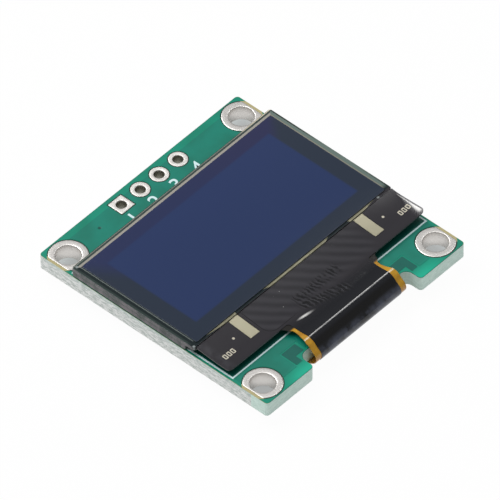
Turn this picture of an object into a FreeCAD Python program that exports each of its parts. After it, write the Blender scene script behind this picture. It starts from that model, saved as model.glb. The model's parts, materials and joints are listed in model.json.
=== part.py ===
"""A small OLED display module, in millimetres.

X runs along the row of pin holes, Y points from the film tail towards that row, and Z points up out of
the screen. The origin is the middle of the outline, on the surface that the module rests on, so the parts
on the board's back reach down to Z = 0 and the board is above them.
"""

import FreeCAD, Part
import math
import os
import re
import Sketcher

Vector = FreeCAD.Vector

# Driving dimensions: alias, value, what it is
SIZES = [
    ("board_length", 26.7, "circuit board and display panel along X"),
    ("board_thick", 1.6, "circuit board laminate"),
    ("board_corner", 0.35, "radius of the board's upright corners"),
    ("header_strip", 4.0, "board above the panel, with the pin holes"),
    ("tongue_left", 6.3, "board left of the notch in its lower edge"),
    ("tongue_right", 6.0, "board right of the notch"),
    ("notch_depth", 1.85, "notch from the lower edge, which the tail folds through"),
    ("notch_corner", 0.8, "inner corners of the notch"),
    ("notch_mouth", 0.4, "outer corners of the notch"),
    ("copper_thick", 0.04, "plated copper above the laminate"),
    ("plating_wall", 0.05, "plating on the wall of a hole"),
    ("plating_seat", 0.01, "drilled hole around its plated barrel"),
    ("mount_inset_x", 1.7, "mounting hole's centre from the left or right edge"),
    ("mount_inset_y", 2.05, "mounting hole's centre from the upper or lower edge"),
    ("mount_hole", 2.4, "finished mounting hole"),
    ("mount_land", 3.7, "copper land around a mounting hole"),
    ("land_edge_x", 0.28, "least distance from a land to the left or right edge"),
    ("land_edge_y", 0.15, "least distance from a land to the upper or lower edge"),
    ("pin_pitch", 2.54, "pin holes, centre to centre"),
    ("pin_row_inset", 1.38, "from the upper edge to the row of pin holes"),
    ("pin_hole", 1.0, "finished pin hole"),
    ("pin_land", 1.84, "round copper land around a pin hole"),
    ("pin_one_side", 1.74, "side of the square land around the first pin hole"),
    ("tape_thick", 0.15, "foam tape under the panel"),
    ("tape_inset", 0.9, "tape edge inside the rear glass"),
    ("rear_glass_thick", 0.49, "sealing glass at the panel's back"),
    ("cell_gap", 0.03, "sealed gap between the two glasses"),
    ("front_glass_thick", 0.4, "display glass"),
    ("front_glass_height", 14.85, "display glass along Y"),
    ("polarizer_thick", 0.12, "polarizing film on the display glass"),
    ("ledge_depth", 1.0, "contact ledge, where the rear glass stops short"),
    ("glass_corner", 0.25, "radius of the glass corners"),
    ("polarizer_inset", 0.65, "polarizer inside the display glass at three edges"),
    ("polarizer_foot", 0.35, "polarizer inside the display glass at the ledge"),
    ("active_side", 2.48, "lit area inside the glass, left and right"),
    ("active_top", 2.1, "lit area below the upper edge of the glass"),
    ("active_foot", 0.95, "lit area above the lower edge of the rear glass"),
    ("seal_width", 0.4, "adhesive frame between the glasses"),
    ("film_thick", 0.08, "polyimide tail film"),
    ("cover_thick", 0.04, "black cover film on the tail"),
    ("bond_depth", 0.75, "tail film bonded under the glass ledge"),
    ("wing_reach", 4.05, "tail wing below the glass edge"),
    ("wing_in_left", 0.3, "wing inside the glass at the left"),
    ("wing_in_right", 0.05, "wing inside the glass at the right"),
    ("wing_corner", 0.4, "rounded outer corners of the wing"),
    ("neck_length", 2.75, "flat neck from the wing to the fold"),
    ("neck_clear", 1.15, "neck clear of each side of the notch"),
    ("neck_corner", 0.5, "rounded inner corners between the wing and the neck"),
    ("cover_glass_gap", 0.05, "cover film short of the glass edge"),
    ("cover_left", 0.7, "cover film inside the neck's left edge"),
    ("cover_right", 0.7, "cover film inside the neck's right edge"),
    ("cover_neck_corner", 0.3, "inner corners of the cover film at the neck"),
    ("cover_end_gap", 0.5, "cover film short of the film's soldered end"),
    ("fold_past_notch", 0.2, "from the notch's inner edge to the start of the fold"),
    ("run_length", 5.2, "folded film along the board's back"),
    ("window_width", 1.25, "window in the cover film"),
    ("window_foot", 1.25, "window above the wing's lower edge"),
    ("window_left", 4.55, "left window from the glass's left edge"),
    ("window_right", 4.1, "right window from the glass's right edge"),
    ("patch_thick", 0.03, "tinned patch that shows in a window"),
    ("patch_gap", 0.05, "tinned patch inside its window"),
    ("die_length", 6.8, "driver die under the tail"),
    ("die_width", 0.9, "driver die along Y"),
    ("die_thick", 0.35, "driver die"),
    ("die_below_foot", 0.9, "driver die's lower edge below the wing's"),
    ("finger_pitch", 0.5, "tinned fingers, centre to centre"),
    ("finger_width", 0.24, "tinned finger"),
    ("finger_thick", 0.035, "tinned finger"),
    ("finger_margin", 0.15, "outer fingers inside the neck's edges"),
    ("finger_under", 0.9, "finger under the film's end"),
    ("finger_out", 0.9, "finger beyond the film's end"),
    ("finger_land_side", 0.03, "land wider than its finger at each side"),
    ("finger_land_more", 0.2, "land longer than its finger at both ends"),
    ("chip_length", 1.6, "small resistor or capacitor"),
    ("chip_width", 0.8, "small resistor or capacitor across"),
    ("chip_cap", 0.3, "metal end of a chip part along its length"),
    ("chip_skin", 0.02, "metal end proud of the chip's body"),
    ("resistor_high", 0.45, "small resistor"),
    ("capacitor_high", 0.8, "small capacitor"),
    ("bulk_length", 2.0, "large capacitor"),
    ("bulk_width", 1.25, "large capacitor across"),
    ("bulk_high", 1.1, "large capacitor, which the module rests on"),
    ("bulk_cap", 0.45, "metal end of a large capacitor"),
    ("land_margin", 0.25, "solder land beyond the metal end of a part"),
    ("regulator_length", 2.9, "three-legged regulator"),
    ("regulator_width", 1.3, "three-legged regulator across"),
    ("regulator_high", 1.1, "three-legged regulator above its lands"),
    ("package_stand", 0.1, "moulded packages above their lands"),
    ("regulator_taper", 0.09, "moulded side from its parting line to its face"),
    ("leg_pitch", 1.9, "two legs on one side of the regulator"),
    ("leg_width", 0.4, "leg of the regulator or diode"),
    ("leg_thick", 0.12, "leg of the regulator or diode"),
    ("leg_out", 0.55, "leg beyond the body"),
    ("leg_foot", 0.3, "flat foot at the end of a leg"),
    ("diode_length", 1.7, "diode body"),
    ("diode_width", 1.25, "diode body across"),
    ("diode_high", 0.95, "diode above its lands"),
    ("diode_taper", 0.06, "moulded side of the diode"),
    ("part_gap", 0.4, "between the lands of neighbouring parts in a row"),
    ("side_part_inset", 5.2, "outer parts on the back from the board's side edges"),
    ("first_row", 2.8, "first row of parts on the back from the fingers' lands"),
    ("second_row", 6.9, "second row of parts from the first"),
    ("third_row", 2.1, "third row of parts from the second"),
]

PIN_COUNT = 4

doc = FreeCAD.newDocument("small_oled_module")
sizes = doc.addObject("Spreadsheet::Sheet", "Sizes")
for row, (alias, value, note) in enumerate(SIZES, start=1):
    sizes.set(f"A{row}", note)
    sizes.set(f"B{row}", str(value))
    sizes.setAlias(f"B{row}", alias)
doc.recompute()

ALIAS = re.compile(r"\b(" + "|".join(alias for alias, _, _ in SIZES) + r")\b")


def cells(expression):
    """The expression with each size's name turned into its cell of the sheet."""
    return ALIAS.sub(r"Sizes.\1", str(expression))


def number(expression):
    """The value of an expression in the sheet's sizes."""
    return float(sizes.evalExpression(cells(expression)))


def bind(thing, path, expression):
    """Bind one property of a document object to the sheet."""
    thing.setExpression(path, cells(expression))


# Levels, from the surface that the module rests on upwards
LAND_BACK = "max(bulk_high; regulator_high)"
BOARD_BACK = f"({LAND_BACK} + copper_thick)"
BOARD_FACE = f"({BOARD_BACK} + board_thick)"
REAR_GLASS_BACK = f"({BOARD_FACE} + tape_thick)"
CELL_BACK = f"({REAR_GLASS_BACK} + rear_glass_thick)"
FRONT_GLASS_BACK = f"({CELL_BACK} + cell_gap)"
FRONT_GLASS_FACE = f"({FRONT_GLASS_BACK} + front_glass_thick)"
FILM_BACK = f"({FRONT_GLASS_BACK} - film_thick)"
FINGER_BACK = f"({LAND_BACK} - finger_thick)"

# Places along X
LEFT, RIGHT = "(-board_length / 2)", "(board_length / 2)"
NOTCH_LEFT, NOTCH_RIGHT = f"({LEFT} + tongue_left)", f"({RIGHT} - tongue_right)"
NECK_LEFT, NECK_RIGHT = f"({NOTCH_LEFT} + neck_clear)", f"({NOTCH_RIGHT} - neck_clear)"
NECK_MIDDLE = f"(({NECK_LEFT} + {NECK_RIGHT}) / 2)"
WING_LEFT, WING_RIGHT = f"({LEFT} + wing_in_left)", f"({RIGHT} - wing_in_right)"

# Places along Y: the board is as wide as its strip of pin holes, the panel, the tail and the notch
BOARD_WIDTH = ("(header_strip + front_glass_height + wing_reach + neck_length + fold_past_notch"
               " + notch_depth)")
FOOT, HEAD = f"(-{BOARD_WIDTH} / 2)", f"({BOARD_WIDTH} / 2)"
NOTCH_TOP = f"({FOOT} + notch_depth)"
FOLD_Y = f"({NOTCH_TOP} + fold_past_notch)"
WING_FOOT = f"({FOLD_Y} + neck_length)"
GLASS_FOOT = f"({WING_FOOT} + wing_reach)"
COVER_TOP = f"({GLASS_FOOT} - cover_glass_gap)"
GLASS_TOP = f"({GLASS_FOOT} + front_glass_height)"
LEDGE = f"({GLASS_FOOT} + ledge_depth)"
PIN_ROW = f"({HEAD} - pin_row_inset)"
FILM_END = f"({FOLD_Y} + run_length)"

# The fold of the tail: the film's outer radius and the height of its centre
FOLD_RADIUS = f"(({FRONT_GLASS_BACK} - {FINGER_BACK} + film_thick) / 2)"
FOLD_Z = f"({FRONT_GLASS_BACK} - {FOLD_RADIUS})"


def body_called(name):
    """A new part-design body that becomes one sub-part."""
    body = doc.addObject("PartDesign::Body", name)
    body.Label = name
    return body


def sketch_on(body, name, role, along=None, across=None, up=None):
    """A sketch on one of the body's origin planes, its own origin moved by up to three expressions."""
    sketch = body.newObject("Sketcher::SketchObject", name)
    planes = [f for f in body.Origin.OriginFeatures if f.Role == role]
    sketch.AttachmentSupport = [(planes[0], "")]
    sketch.MapMode = "FlatFace"
    for path, expression in (("x", along), ("y", across), ("z", up)):
        if expression is not None:
            bind(sketch, f".AttachmentOffset.Base.{path}", expression)
    return sketch


def bind_point(sketch, geometry, position, x, y):
    """Tie a point of the sketch's geometry to two expressions, from the sketch's origin."""
    for kind, expression in (("DistanceX", x), ("DistanceY", y)):
        rule = Sketcher.Constraint(kind, -1, 1, geometry, position, number(expression))
        at = sketch.addConstraint(rule)
        bind(sketch, f"Constraints[{at}]", expression)


def add_polygon(sketch, corners):
    """Close a polygon in the sketch, with every corner tied to two expressions."""
    points = [Vector(number(x), number(y), 0) for x, y in corners]
    first = len(sketch.Geometry)
    count = len(points)
    for i in range(count):
        sketch.addGeometry(Part.LineSegment(points[i], points[(i + 1) % count]))
    for i in range(count):
        following = first + (i + 1) % count
        sketch.addConstraint(Sketcher.Constraint("Coincident", first + i, 2, following, 1))
    for i, (x, y) in enumerate(corners):
        bind_point(sketch, first + i, 1, x, y)


def add_rectangle(sketch, left, right, low, high):
    """A rectangle between two expressions along the sketch's x and two along its y."""
    add_polygon(sketch, [(left, low), (right, low), (right, high), (left, high)])


def add_circle(sketch, x, y, radius):
    """A circle with its centre and radius tied to expressions."""
    centre = Vector(number(x), number(y), 0)
    at = sketch.addGeometry(Part.Circle(centre, Vector(0, 0, 1), number(radius)))
    bind_point(sketch, at, 3, x, y)
    rule = sketch.addConstraint(Sketcher.Constraint("Radius", at, number(radius)))
    bind(sketch, f"Constraints[{rule}]", radius)


def pad(body, sketch, length, name, reverse=False):
    """Add the sketch's area, drawn out along its normal, or against it."""
    feature = body.newObject("PartDesign::Pad", name)
    feature.Profile = sketch
    feature.Reversed = reverse
    bind(feature, "Length", length)
    doc.recompute()
    return feature


def turn(body, sketch, axis, degrees, name):
    """Add the sketch's area, turned about one of its own axes."""
    feature = body.newObject("PartDesign::Revolution", name)
    feature.Profile = sketch
    feature.ReferenceAxis = (sketch, [axis])
    feature.Angle = degrees
    doc.recompute()
    return feature


def cut_through(body, sketch, name):
    """Cut the sketch's area right through the body both ways, and make sure that something went."""
    before = body.Shape.Volume
    feature = body.newObject("PartDesign::Pocket", name)
    feature.Profile = sketch
    feature.Type = "ThroughAll"
    feature.Midplane = True
    doc.recompute()
    if not body.Shape.Volume < before:
        raise RuntimeError(f"{name} cuts nothing")
    return feature


def upright_edges(shape, spots):
    """Names of the straight edges along Z that stand on the given spots."""
    wanted = [(number(x), number(y)) for x, y in spots]
    names = []
    for i, edge in enumerate(shape.Edges, start=1):
        ends = [vertex.Point for vertex in edge.Vertexes]
        if len(ends) != 2 or math.dist(ends[0][:2], ends[1][:2]) > 1e-6:
            continue
        if any(math.dist(ends[0][:2], spot) < 1e-4 for spot in wanted):
            names.append(f"Edge{i}")
    return names


def round_upright(body, spots, radius, name):
    """Round the upright edges on the given spots."""
    base = body.Tip
    edges = upright_edges(base.Shape, spots)
    if len(edges) < len(spots):
        raise RuntimeError(f"{name} found {len(edges)} edges for {len(spots)} spots")
    feature = body.newObject("PartDesign::Fillet", name)
    feature.Base = (base, edges)
    bind(feature, "Radius", radius)
    doc.recompute()
    return feature


def slab(name, left, right, low, high, back, thick, corner=None):
    """A flat plate between two X values and two Y values, with its back at a level."""
    body = body_called(name)
    outline = sketch_on(body, f"{name}_outline", "XY_Plane", up=back)
    add_rectangle(outline, left, right, low, high)
    pad(body, outline, thick, f"{name}_plate")
    if corner is not None:
        spots = [(x, y) for x in (left, right) for y in (low, high)]
        round_upright(body, spots, corner, f"{name}_corners")
    return body


def block(name, middle_x, middle_y, back, along, across, high):
    """A plain box about a middle in X and Y, with its back at a level."""
    box = doc.addObject("Part::Box", name)
    for path, expression in (("Length", along), ("Width", across), ("Height", high)):
        bind(box, path, expression)
    bind(box, ".Placement.Base.x", f"{middle_x} - ({along}) / 2")
    bind(box, ".Placement.Base.y", f"{middle_y} - ({across}) / 2")
    bind(box, ".Placement.Base.z", back)
    return box


def group(name, members):
    """Several separate solids of one kind as one sub-part."""
    compound = doc.addObject("Part::Compound", name)
    compound.Label = name
    compound.Links = members
    return compound


def mount_places():
    """The four mounting holes: the board edge beside each, the edge above or below it, and its centre."""
    for side in (-1, 1):
        for end in (-1, 1):
            x = f"{side} * (board_length / 2 - mount_inset_x)"
            y = f"{end} * ({BOARD_WIDTH} / 2 - mount_inset_y)"
            yield side, end, x, y


def pin_x(index):
    """X of one pin hole, counted from the first on the left."""
    return f"{index - (PIN_COUNT - 1) / 2} * pin_pitch"


def make_board():
    """The laminate: outline with the tail's notch, four mounting holes and a row of pin holes."""
    body = body_called("printed_board")
    outline = sketch_on(body, "board_outline", "XY_Plane", up=BOARD_BACK)
    add_polygon(outline, [
        (LEFT, FOOT), (NOTCH_LEFT, FOOT), (NOTCH_LEFT, NOTCH_TOP), (NOTCH_RIGHT, NOTCH_TOP),
        (NOTCH_RIGHT, FOOT), (RIGHT, FOOT), (RIGHT, HEAD), (LEFT, HEAD),
    ])
    pad(body, outline, "board_thick", "board_laminate")
    corners = [(x, y) for x in (LEFT, RIGHT) for y in (FOOT, HEAD)]
    round_upright(body, corners, "board_corner", "board_corners")
    inner = [(NOTCH_LEFT, NOTCH_TOP), (NOTCH_RIGHT, NOTCH_TOP)]
    round_upright(body, inner, "notch_corner", "notch_corners")
    mouth = [(NOTCH_LEFT, FOOT), (NOTCH_RIGHT, FOOT)]
    round_upright(body, mouth, "notch_mouth", "notch_mouths")
    drills = sketch_on(body, "mount_drills", "XY_Plane", up=BOARD_BACK)
    for _, _, x, y in mount_places():
        add_circle(drills, x, y, "mount_hole / 2 + plating_wall + plating_seat")
    cut_through(body, drills, "mount_drilling")
    drill = sketch_on(body, "pin_drill", "XY_Plane", up=BOARD_BACK)
    add_circle(drill, pin_x(0), PIN_ROW, "pin_hole / 2 + plating_wall + plating_seat")
    first = cut_through(body, drill, "pin_drilling")
    row = body.newObject("PartDesign::LinearPattern", "pin_drilling_row")
    row.Originals = [first]
    row.Direction = (drill, ["H_Axis"])
    bind(row, "Length", f"{PIN_COUNT - 1} * pin_pitch")
    row.Occurrences = PIN_COUNT
    body.Tip = row
    doc.recompute()
    return body


def plated_hole(name, x, y, hole, land_radius, trim=None):
    """A plated hole turned as one piece: a land on each face of the board and the barrel between.

    trim is the outline about the hole's centre that the lands are cut to.
    """
    body = body_called(name)
    inner, barrel = f"{hole} / 2", f"{hole} / 2 + plating_wall"
    bottom, top = f"{BOARD_BACK} - copper_thick", f"{BOARD_FACE} + copper_thick"
    section = sketch_on(body, f"{name}_section", "XZ_Plane")
    add_polygon(section, [
        (inner, bottom), (land_radius, bottom), (land_radius, BOARD_BACK), (barrel, BOARD_BACK),
        (barrel, BOARD_FACE), (land_radius, BOARD_FACE), (land_radius, top), (inner, top),
    ])
    turn(body, section, "V_Axis", 360, f"{name}_turned")
    if trim is not None:
        rest = sketch_on(body, f"{name}_rest", "XY_Plane", up=BOARD_BACK)
        reach = f"2 * {land_radius}"
        add_rectangle(rest, f"-{reach}", reach, f"-{reach}", reach)
        add_rectangle(rest, *trim)
        cut_through(body, rest, f"{name}_trimmed")
    bind(body, ".Placement.Base.x", x)
    bind(body, ".Placement.Base.y", y)
    return body


def make_mount_pads():
    """Plated mounting holes, whose lands are cut flat where they would come too near the board's edge."""
    parts = []
    radius = "mount_land / 2"
    clear = f"1.5 * {radius}"
    near_x, near_y = "(mount_inset_x - land_edge_x)", "(mount_inset_y - land_edge_y)"
    for index, (side, end, x, y) in enumerate(mount_places(), start=1):
        left, right = (f"-{near_x}", clear) if side < 0 else (f"-{clear}", near_x)
        low, high = (f"-{near_y}", clear) if end < 0 else (f"-{clear}", near_y)
        name = f"mount_pad_{index}"
        parts.append(plated_hole(name, x, y, "mount_hole", radius, (left, right, low, high)))
    return parts


def make_pin_pads():
    """Plated pin holes: a square land marks the first, and the others are round."""
    half = "pin_one_side / 2"
    square = (f"-{half}", half, f"-{half}", half)
    parts = [plated_hole("pin_pad_1", pin_x(0), PIN_ROW, "pin_hole", f"1.5 * {half}", square)]
    for index in range(1, PIN_COUNT):
        name = f"pin_pad_{index + 1}"
        parts.append(plated_hole(name, pin_x(index), PIN_ROW, "pin_hole", "pin_land / 2"))
    return parts


def make_seal():
    """The adhesive frame that closes the cell between the two glasses."""
    body = body_called("cell_seal")
    outline = sketch_on(body, "cell_seal_outline", "XY_Plane", up=CELL_BACK)
    add_rectangle(outline, LEFT, RIGHT, LEDGE, GLASS_TOP)
    add_rectangle(outline, f"{LEFT} + seal_width", f"{RIGHT} - seal_width", f"{LEDGE} + seal_width",
                  f"{GLASS_TOP} - seal_width")
    pad(body, outline, "cell_gap", "cell_seal_frame")
    return body


def make_panel():
    """The display panel: tape, sealing glass, seal, pixel layer, display glass and polarizer."""
    return [
        slab("foam_tape", f"{LEFT} + tape_inset", f"{RIGHT} - tape_inset", f"{LEDGE} + tape_inset",
             f"{GLASS_TOP} - tape_inset", BOARD_FACE, "tape_thick"),
        slab("rear_glass", LEFT, RIGHT, LEDGE, GLASS_TOP, REAR_GLASS_BACK, "rear_glass_thick",
             "glass_corner"),
        make_seal(),
        slab("active_layer", f"{LEFT} + active_side", f"{RIGHT} - active_side", f"{LEDGE} + active_foot",
             f"{GLASS_TOP} - active_top", CELL_BACK, "cell_gap"),
        slab("front_glass", LEFT, RIGHT, GLASS_FOOT, GLASS_TOP, FRONT_GLASS_BACK, "front_glass_thick",
             "glass_corner"),
        slab("polarizer", f"{LEFT} + polarizer_inset", f"{RIGHT} - polarizer_inset",
             f"{GLASS_FOOT} + polarizer_foot", f"{GLASS_TOP} - polarizer_inset", FRONT_GLASS_FACE,
             "polarizer_thick", "glass_corner"),
    ]


def fold(body, name, left, right, inner, outer, run):
    """Fold a strip round the tail's bend and lay it back along the board's underside."""
    bend = sketch_on(body, f"{name}_bend", "XZ_Plane", across=FOLD_Z, up=f"-{FOLD_Y}")
    add_rectangle(bend, left, right, inner, outer)
    turn(body, bend, "H_Axis", 180, f"{name}_fold")
    strip = sketch_on(body, f"{name}_strip", "XZ_Plane", across=FOLD_Z, up=f"-{FOLD_Y}")
    add_rectangle(strip, left, right, f"-({outer})", f"-({inner})")
    pad(body, strip, run, f"{name}_run", reverse=True)


def make_tail_film():
    """The amber film: a wide wing bonded under the glass, a neck, its fold and the run behind."""
    body = body_called("tail_film")
    bonded = f"{GLASS_FOOT} + bond_depth"
    outline = sketch_on(body, "tail_film_outline", "XY_Plane", up=FILM_BACK)
    add_polygon(outline, [
        (WING_LEFT, WING_FOOT), (NECK_LEFT, WING_FOOT), (NECK_LEFT, FOLD_Y), (NECK_RIGHT, FOLD_Y),
        (NECK_RIGHT, WING_FOOT), (WING_RIGHT, WING_FOOT), (WING_RIGHT, bonded), (WING_LEFT, bonded),
    ])
    pad(body, outline, "film_thick", "tail_film_flat")
    outer = [(WING_LEFT, WING_FOOT), (WING_RIGHT, WING_FOOT)]
    round_upright(body, outer, "wing_corner", "tail_film_wings")
    inner = [(NECK_LEFT, WING_FOOT), (NECK_RIGHT, WING_FOOT)]
    round_upright(body, inner, "neck_corner", "tail_film_neck")
    fold(body, "tail_film", NECK_LEFT, NECK_RIGHT, f"{FOLD_RADIUS} - film_thick", FOLD_RADIUS, "run_length")
    return body


def windows():
    """The left and right edges of the two windows in the cover film."""
    return [
        (f"{LEFT} + window_left", f"{LEFT} + window_left + window_width"),
        (f"{RIGHT} - window_right - window_width", f"{RIGHT} - window_right"),
    ]


def make_tail_cover():
    """The black cover film: it follows the tail's outer face, and has two windows beside the glass."""
    body = body_called("tail_cover")
    neck_left, neck_right = f"({NECK_LEFT} + cover_left)", f"({NECK_RIGHT} - cover_right)"
    outline = sketch_on(body, "tail_cover_outline", "XY_Plane", up=FRONT_GLASS_BACK)
    add_polygon(outline, [
        (WING_LEFT, WING_FOOT), (neck_left, WING_FOOT), (neck_left, FOLD_Y), (neck_right, FOLD_Y),
        (neck_right, WING_FOOT), (WING_RIGHT, WING_FOOT), (WING_RIGHT, COVER_TOP), (WING_LEFT, COVER_TOP),
    ])
    pad(body, outline, "cover_thick", "tail_cover_flat")
    outer = [(WING_LEFT, WING_FOOT), (WING_RIGHT, WING_FOOT)]
    round_upright(body, outer, "wing_corner", "tail_cover_wings")
    inner = [(neck_left, WING_FOOT), (neck_right, WING_FOOT)]
    round_upright(body, inner, "cover_neck_corner", "tail_cover_neck")
    cuts = sketch_on(body, "tail_windows", "XY_Plane", up=FRONT_GLASS_BACK)
    for left, right in windows():
        add_rectangle(cuts, left, right, f"{WING_FOOT} + window_foot", GLASS_FOOT)
    cut_through(body, cuts, "tail_windows_cut")
    fold(body, "tail_cover", neck_left, neck_right, FOLD_RADIUS, f"{FOLD_RADIUS} + cover_thick",
         "run_length - cover_end_gap")
    return body


def make_window_patches():
    """The tinned patches on the film that show through the cover's windows."""
    parts = []
    for name, (left, right) in zip(("window_patch_left", "window_patch_right"), windows()):
        low = f"{WING_FOOT} + window_foot + patch_gap"
        parts.append(slab(name, f"{left} + patch_gap", f"{right} - patch_gap", low, COVER_TOP,
                          FRONT_GLASS_BACK, "patch_thick"))
    return parts


def make_driver_die():
    """The driver die, bonded to the underside of the film."""
    low = f"({WING_FOOT} - die_below_foot)"
    return slab("driver_die", f"{NECK_MIDDLE} - die_length / 2", f"{NECK_MIDDLE} + die_length / 2", low,
                f"{low} + die_width", f"{FILM_BACK} - die_thick", "die_thick")


def make_fingers():
    """The tail's tinned fingers and the row of lands on the board that they are soldered to."""
    fingers, lands = [], []
    room = number(f"{NECK_RIGHT} - {NECK_LEFT} - 2 * finger_margin - finger_width")
    count = int(room / number("finger_pitch") + 1e-6) + 1
    middle = f"{FILM_END} + (finger_out - finger_under) / 2"
    long = "(finger_under + finger_out)"
    for index in range(count):
        x = f"{NECK_MIDDLE} + {index - (count - 1) / 2} * finger_pitch"
        fingers.append(block(f"finger_{index + 1}", x, middle, FINGER_BACK, "finger_width", long,
                             "finger_thick"))
        lands.append(block(f"finger_land_{index + 1}", x, middle, LAND_BACK,
                           "finger_width + 2 * finger_land_side", f"{long} + 2 * finger_land_more",
                           "copper_thick"))
    return [group("tail_fingers", fingers), group("tail_lands", lands)]


def make_chip(name, spot, length, width, high, cap):
    """A chip resistor or capacitor on two lands: its body, its two metal ends, and the lands."""
    x, y = spot
    back = f"({LAND_BACK} - {high})"
    body = block(f"{name}_body", x, y, f"{back} + chip_skin", f"{length} - 2 * {cap}",
                 f"{width} - 2 * chip_skin", f"{high} - 2 * chip_skin")
    ends, lands = [], []
    for side, word in ((-1, "left"), (1, "right")):
        where = f"{x} + {side} * ({length} - {cap}) / 2"
        outer = f"{x} + {side} * ({length} - {cap} + land_margin) / 2"
        ends.append(block(f"{name}_{word}_end", where, y, back, cap, width, high))
        lands.append(block(f"{name}_{word}_land", outer, y, LAND_BACK, f"{cap} + land_margin",
                           f"{width} + land_margin / 2", "copper_thick"))
    return [body, group(f"{name}_ends", ends)], lands


def moulded(name, spot, length, width, high, taper):
    """A moulded package about a spot: three lofted sections, widest at the parting line."""
    body = body_called(name)
    low, top = f"({LAND_BACK} - {high})", f"({LAND_BACK} - package_stand)"
    sections = []
    for index, (level, inset) in enumerate(((low, taper), (f"({low} + {top}) / 2", "0"), (top, taper))):
        section = sketch_on(body, f"{name}_section_{index}", "XY_Plane", up=level)
        x, y = f"({length} / 2 - {inset})", f"({width} / 2 - {inset})"
        add_rectangle(section, f"-{x}", x, f"-{y}", y)
        sections.append(section)
    loft = body.newObject("PartDesign::AdditiveLoft", f"{name}_loft")
    loft.Profile = sections[0]
    loft.Sections = sections[1:]
    loft.Ruled = True
    doc.recompute()
    bind(body, ".Placement.Base.x", spot[0])
    bind(body, ".Placement.Base.y", spot[1])
    return body


def leg(name, spot, across, side, high, degrees):
    """A gull-wing leg: out of the package at its parting line, up to the land and out again.

    It is drawn pointing along Y from the package's middle, moved across by one expression and turned.
    """
    body = body_called(name)
    level = f"(({LAND_BACK} - {high}) + ({LAND_BACK} - package_stand)) / 2"
    start, heel, tip = f"{side} / 2", f"{side} / 2 + leg_out - leg_foot", f"{side} / 2 + leg_out"
    section = sketch_on(body, f"{name}_section", "YZ_Plane", up=f"{across} - leg_width / 2")
    add_polygon(section, [
        (start, f"{level} - leg_thick / 2"), (heel, f"{level} - leg_thick / 2"),
        (heel, f"{LAND_BACK} - leg_thick"), (tip, f"{LAND_BACK} - leg_thick"), (tip, LAND_BACK),
        (f"{heel} - leg_thick", LAND_BACK), (f"{heel} - leg_thick", f"{level} + leg_thick / 2"),
        (start, f"{level} + leg_thick / 2"),
    ])
    pad(body, section, "leg_width", f"{name}_bent")
    body.Placement = FreeCAD.Placement(Vector(0, 0, 0), FreeCAD.Rotation(Vector(0, 0, 1), degrees))
    bind(body, ".Placement.Base.x", spot[0])
    bind(body, ".Placement.Base.y", spot[1])
    return body


def leg_land(name, spot, across, side, degrees):
    """The land under a leg's foot, turned with the leg about the package's middle."""
    angle = math.radians(degrees)
    sine, cosine = round(math.sin(angle)), round(math.cos(angle))
    out = f"({side} / 2 + leg_out - leg_foot / 2)"
    x = f"{spot[0]} + {cosine} * ({across}) - {sine} * {out}"
    y = f"{spot[1]} + {sine} * ({across}) + {cosine} * {out}"
    wide, long = "leg_width + land_margin", "leg_foot + 2 * land_margin"
    along, over = (wide, long) if cosine else (long, wide)
    return block(name, x, y, LAND_BACK, along, over, "copper_thick")


def make_package(name, spot, sizes_of, legs):
    """A moulded package with its legs, and the lands under their feet."""
    length, width, high, taper, reach = sizes_of
    parts, lands = [moulded(name, spot, length, width, high, taper)], []
    for index, (across, degrees) in enumerate(legs, start=1):
        parts.append(leg(f"{name}_leg_{index}", spot, across, reach, high, degrees))
        lands.append(leg_land(f"{name}_leg_{index}_land", spot, across, reach, degrees))
    return parts, lands


def make_back_parts():
    """Everything soldered on the board's back in three rows, and one sub-part with the lands under it."""
    row_1 = f"({FILM_END} + finger_out + finger_land_more + first_row)"
    row_2 = f"({row_1} + second_row)"
    row_3 = f"({row_2} + third_row)"
    step = "(chip_length + 2 * land_margin + part_gap)"
    bulk_step = "((bulk_length + chip_length) / 2 + 2 * land_margin + part_gap)"
    far_left, far_right = f"({LEFT} + side_part_inset)", f"({RIGHT} - side_part_inset)"
    beside_regulator = f"({far_left} + (regulator_length + chip_length) / 2 + land_margin + part_gap)"
    resistors = [(f"{i - 1.5} * {step}", row_3) for i in range(4)] + [(f"{far_right} - {bulk_step}", row_2)]
    capacitors = [(f"{side} * ({bulk_step} + {i} * {step})", row_1) for side in (-1, 1) for i in (0, 1)]
    capacitors.append((beside_regulator, row_2))
    bulk = [(far_right, row_2), ("0", row_1)]
    small = "chip_length", "chip_width"
    kinds = [
        ("resistor", resistors, *small, "resistor_high", "chip_cap"),
        ("capacitor", capacitors, *small, "capacitor_high", "chip_cap"),
        ("bulk_capacitor", bulk, "bulk_length", "bulk_width", "bulk_high", "bulk_cap"),
    ]
    parts, lands = [], []
    for kind, spots, length, width, high, cap in kinds:
        for index, spot in enumerate(spots, start=1):
            made, under = make_chip(f"{kind}_{index}", spot, length, width, high, cap)
            parts += made
            lands += under
    regulator = "regulator_length", "regulator_width", "regulator_high", "regulator_taper", "regulator_width"
    regulator_legs = [("-leg_pitch / 2", 180), ("leg_pitch / 2", 180), ("0", 0)]
    diode = "diode_length", "diode_width", "diode_high", "diode_taper", "diode_length"
    diode_x = f"({bulk_step} + 2 * {step} + (diode_length - chip_length) / 2 + leg_out - leg_foot)"
    packages = [
        ("regulator", (far_left, row_2), regulator, regulator_legs),
        ("diode", (diode_x, row_1), diode, [("0", 90), ("0", -90)]),
    ]
    for name, spot, sizes_of, legs in packages:
        made, under = make_package(name, spot, sizes_of, legs)
        parts += made
        lands += under
    return parts + [group("solder_lands", lands)]


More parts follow.
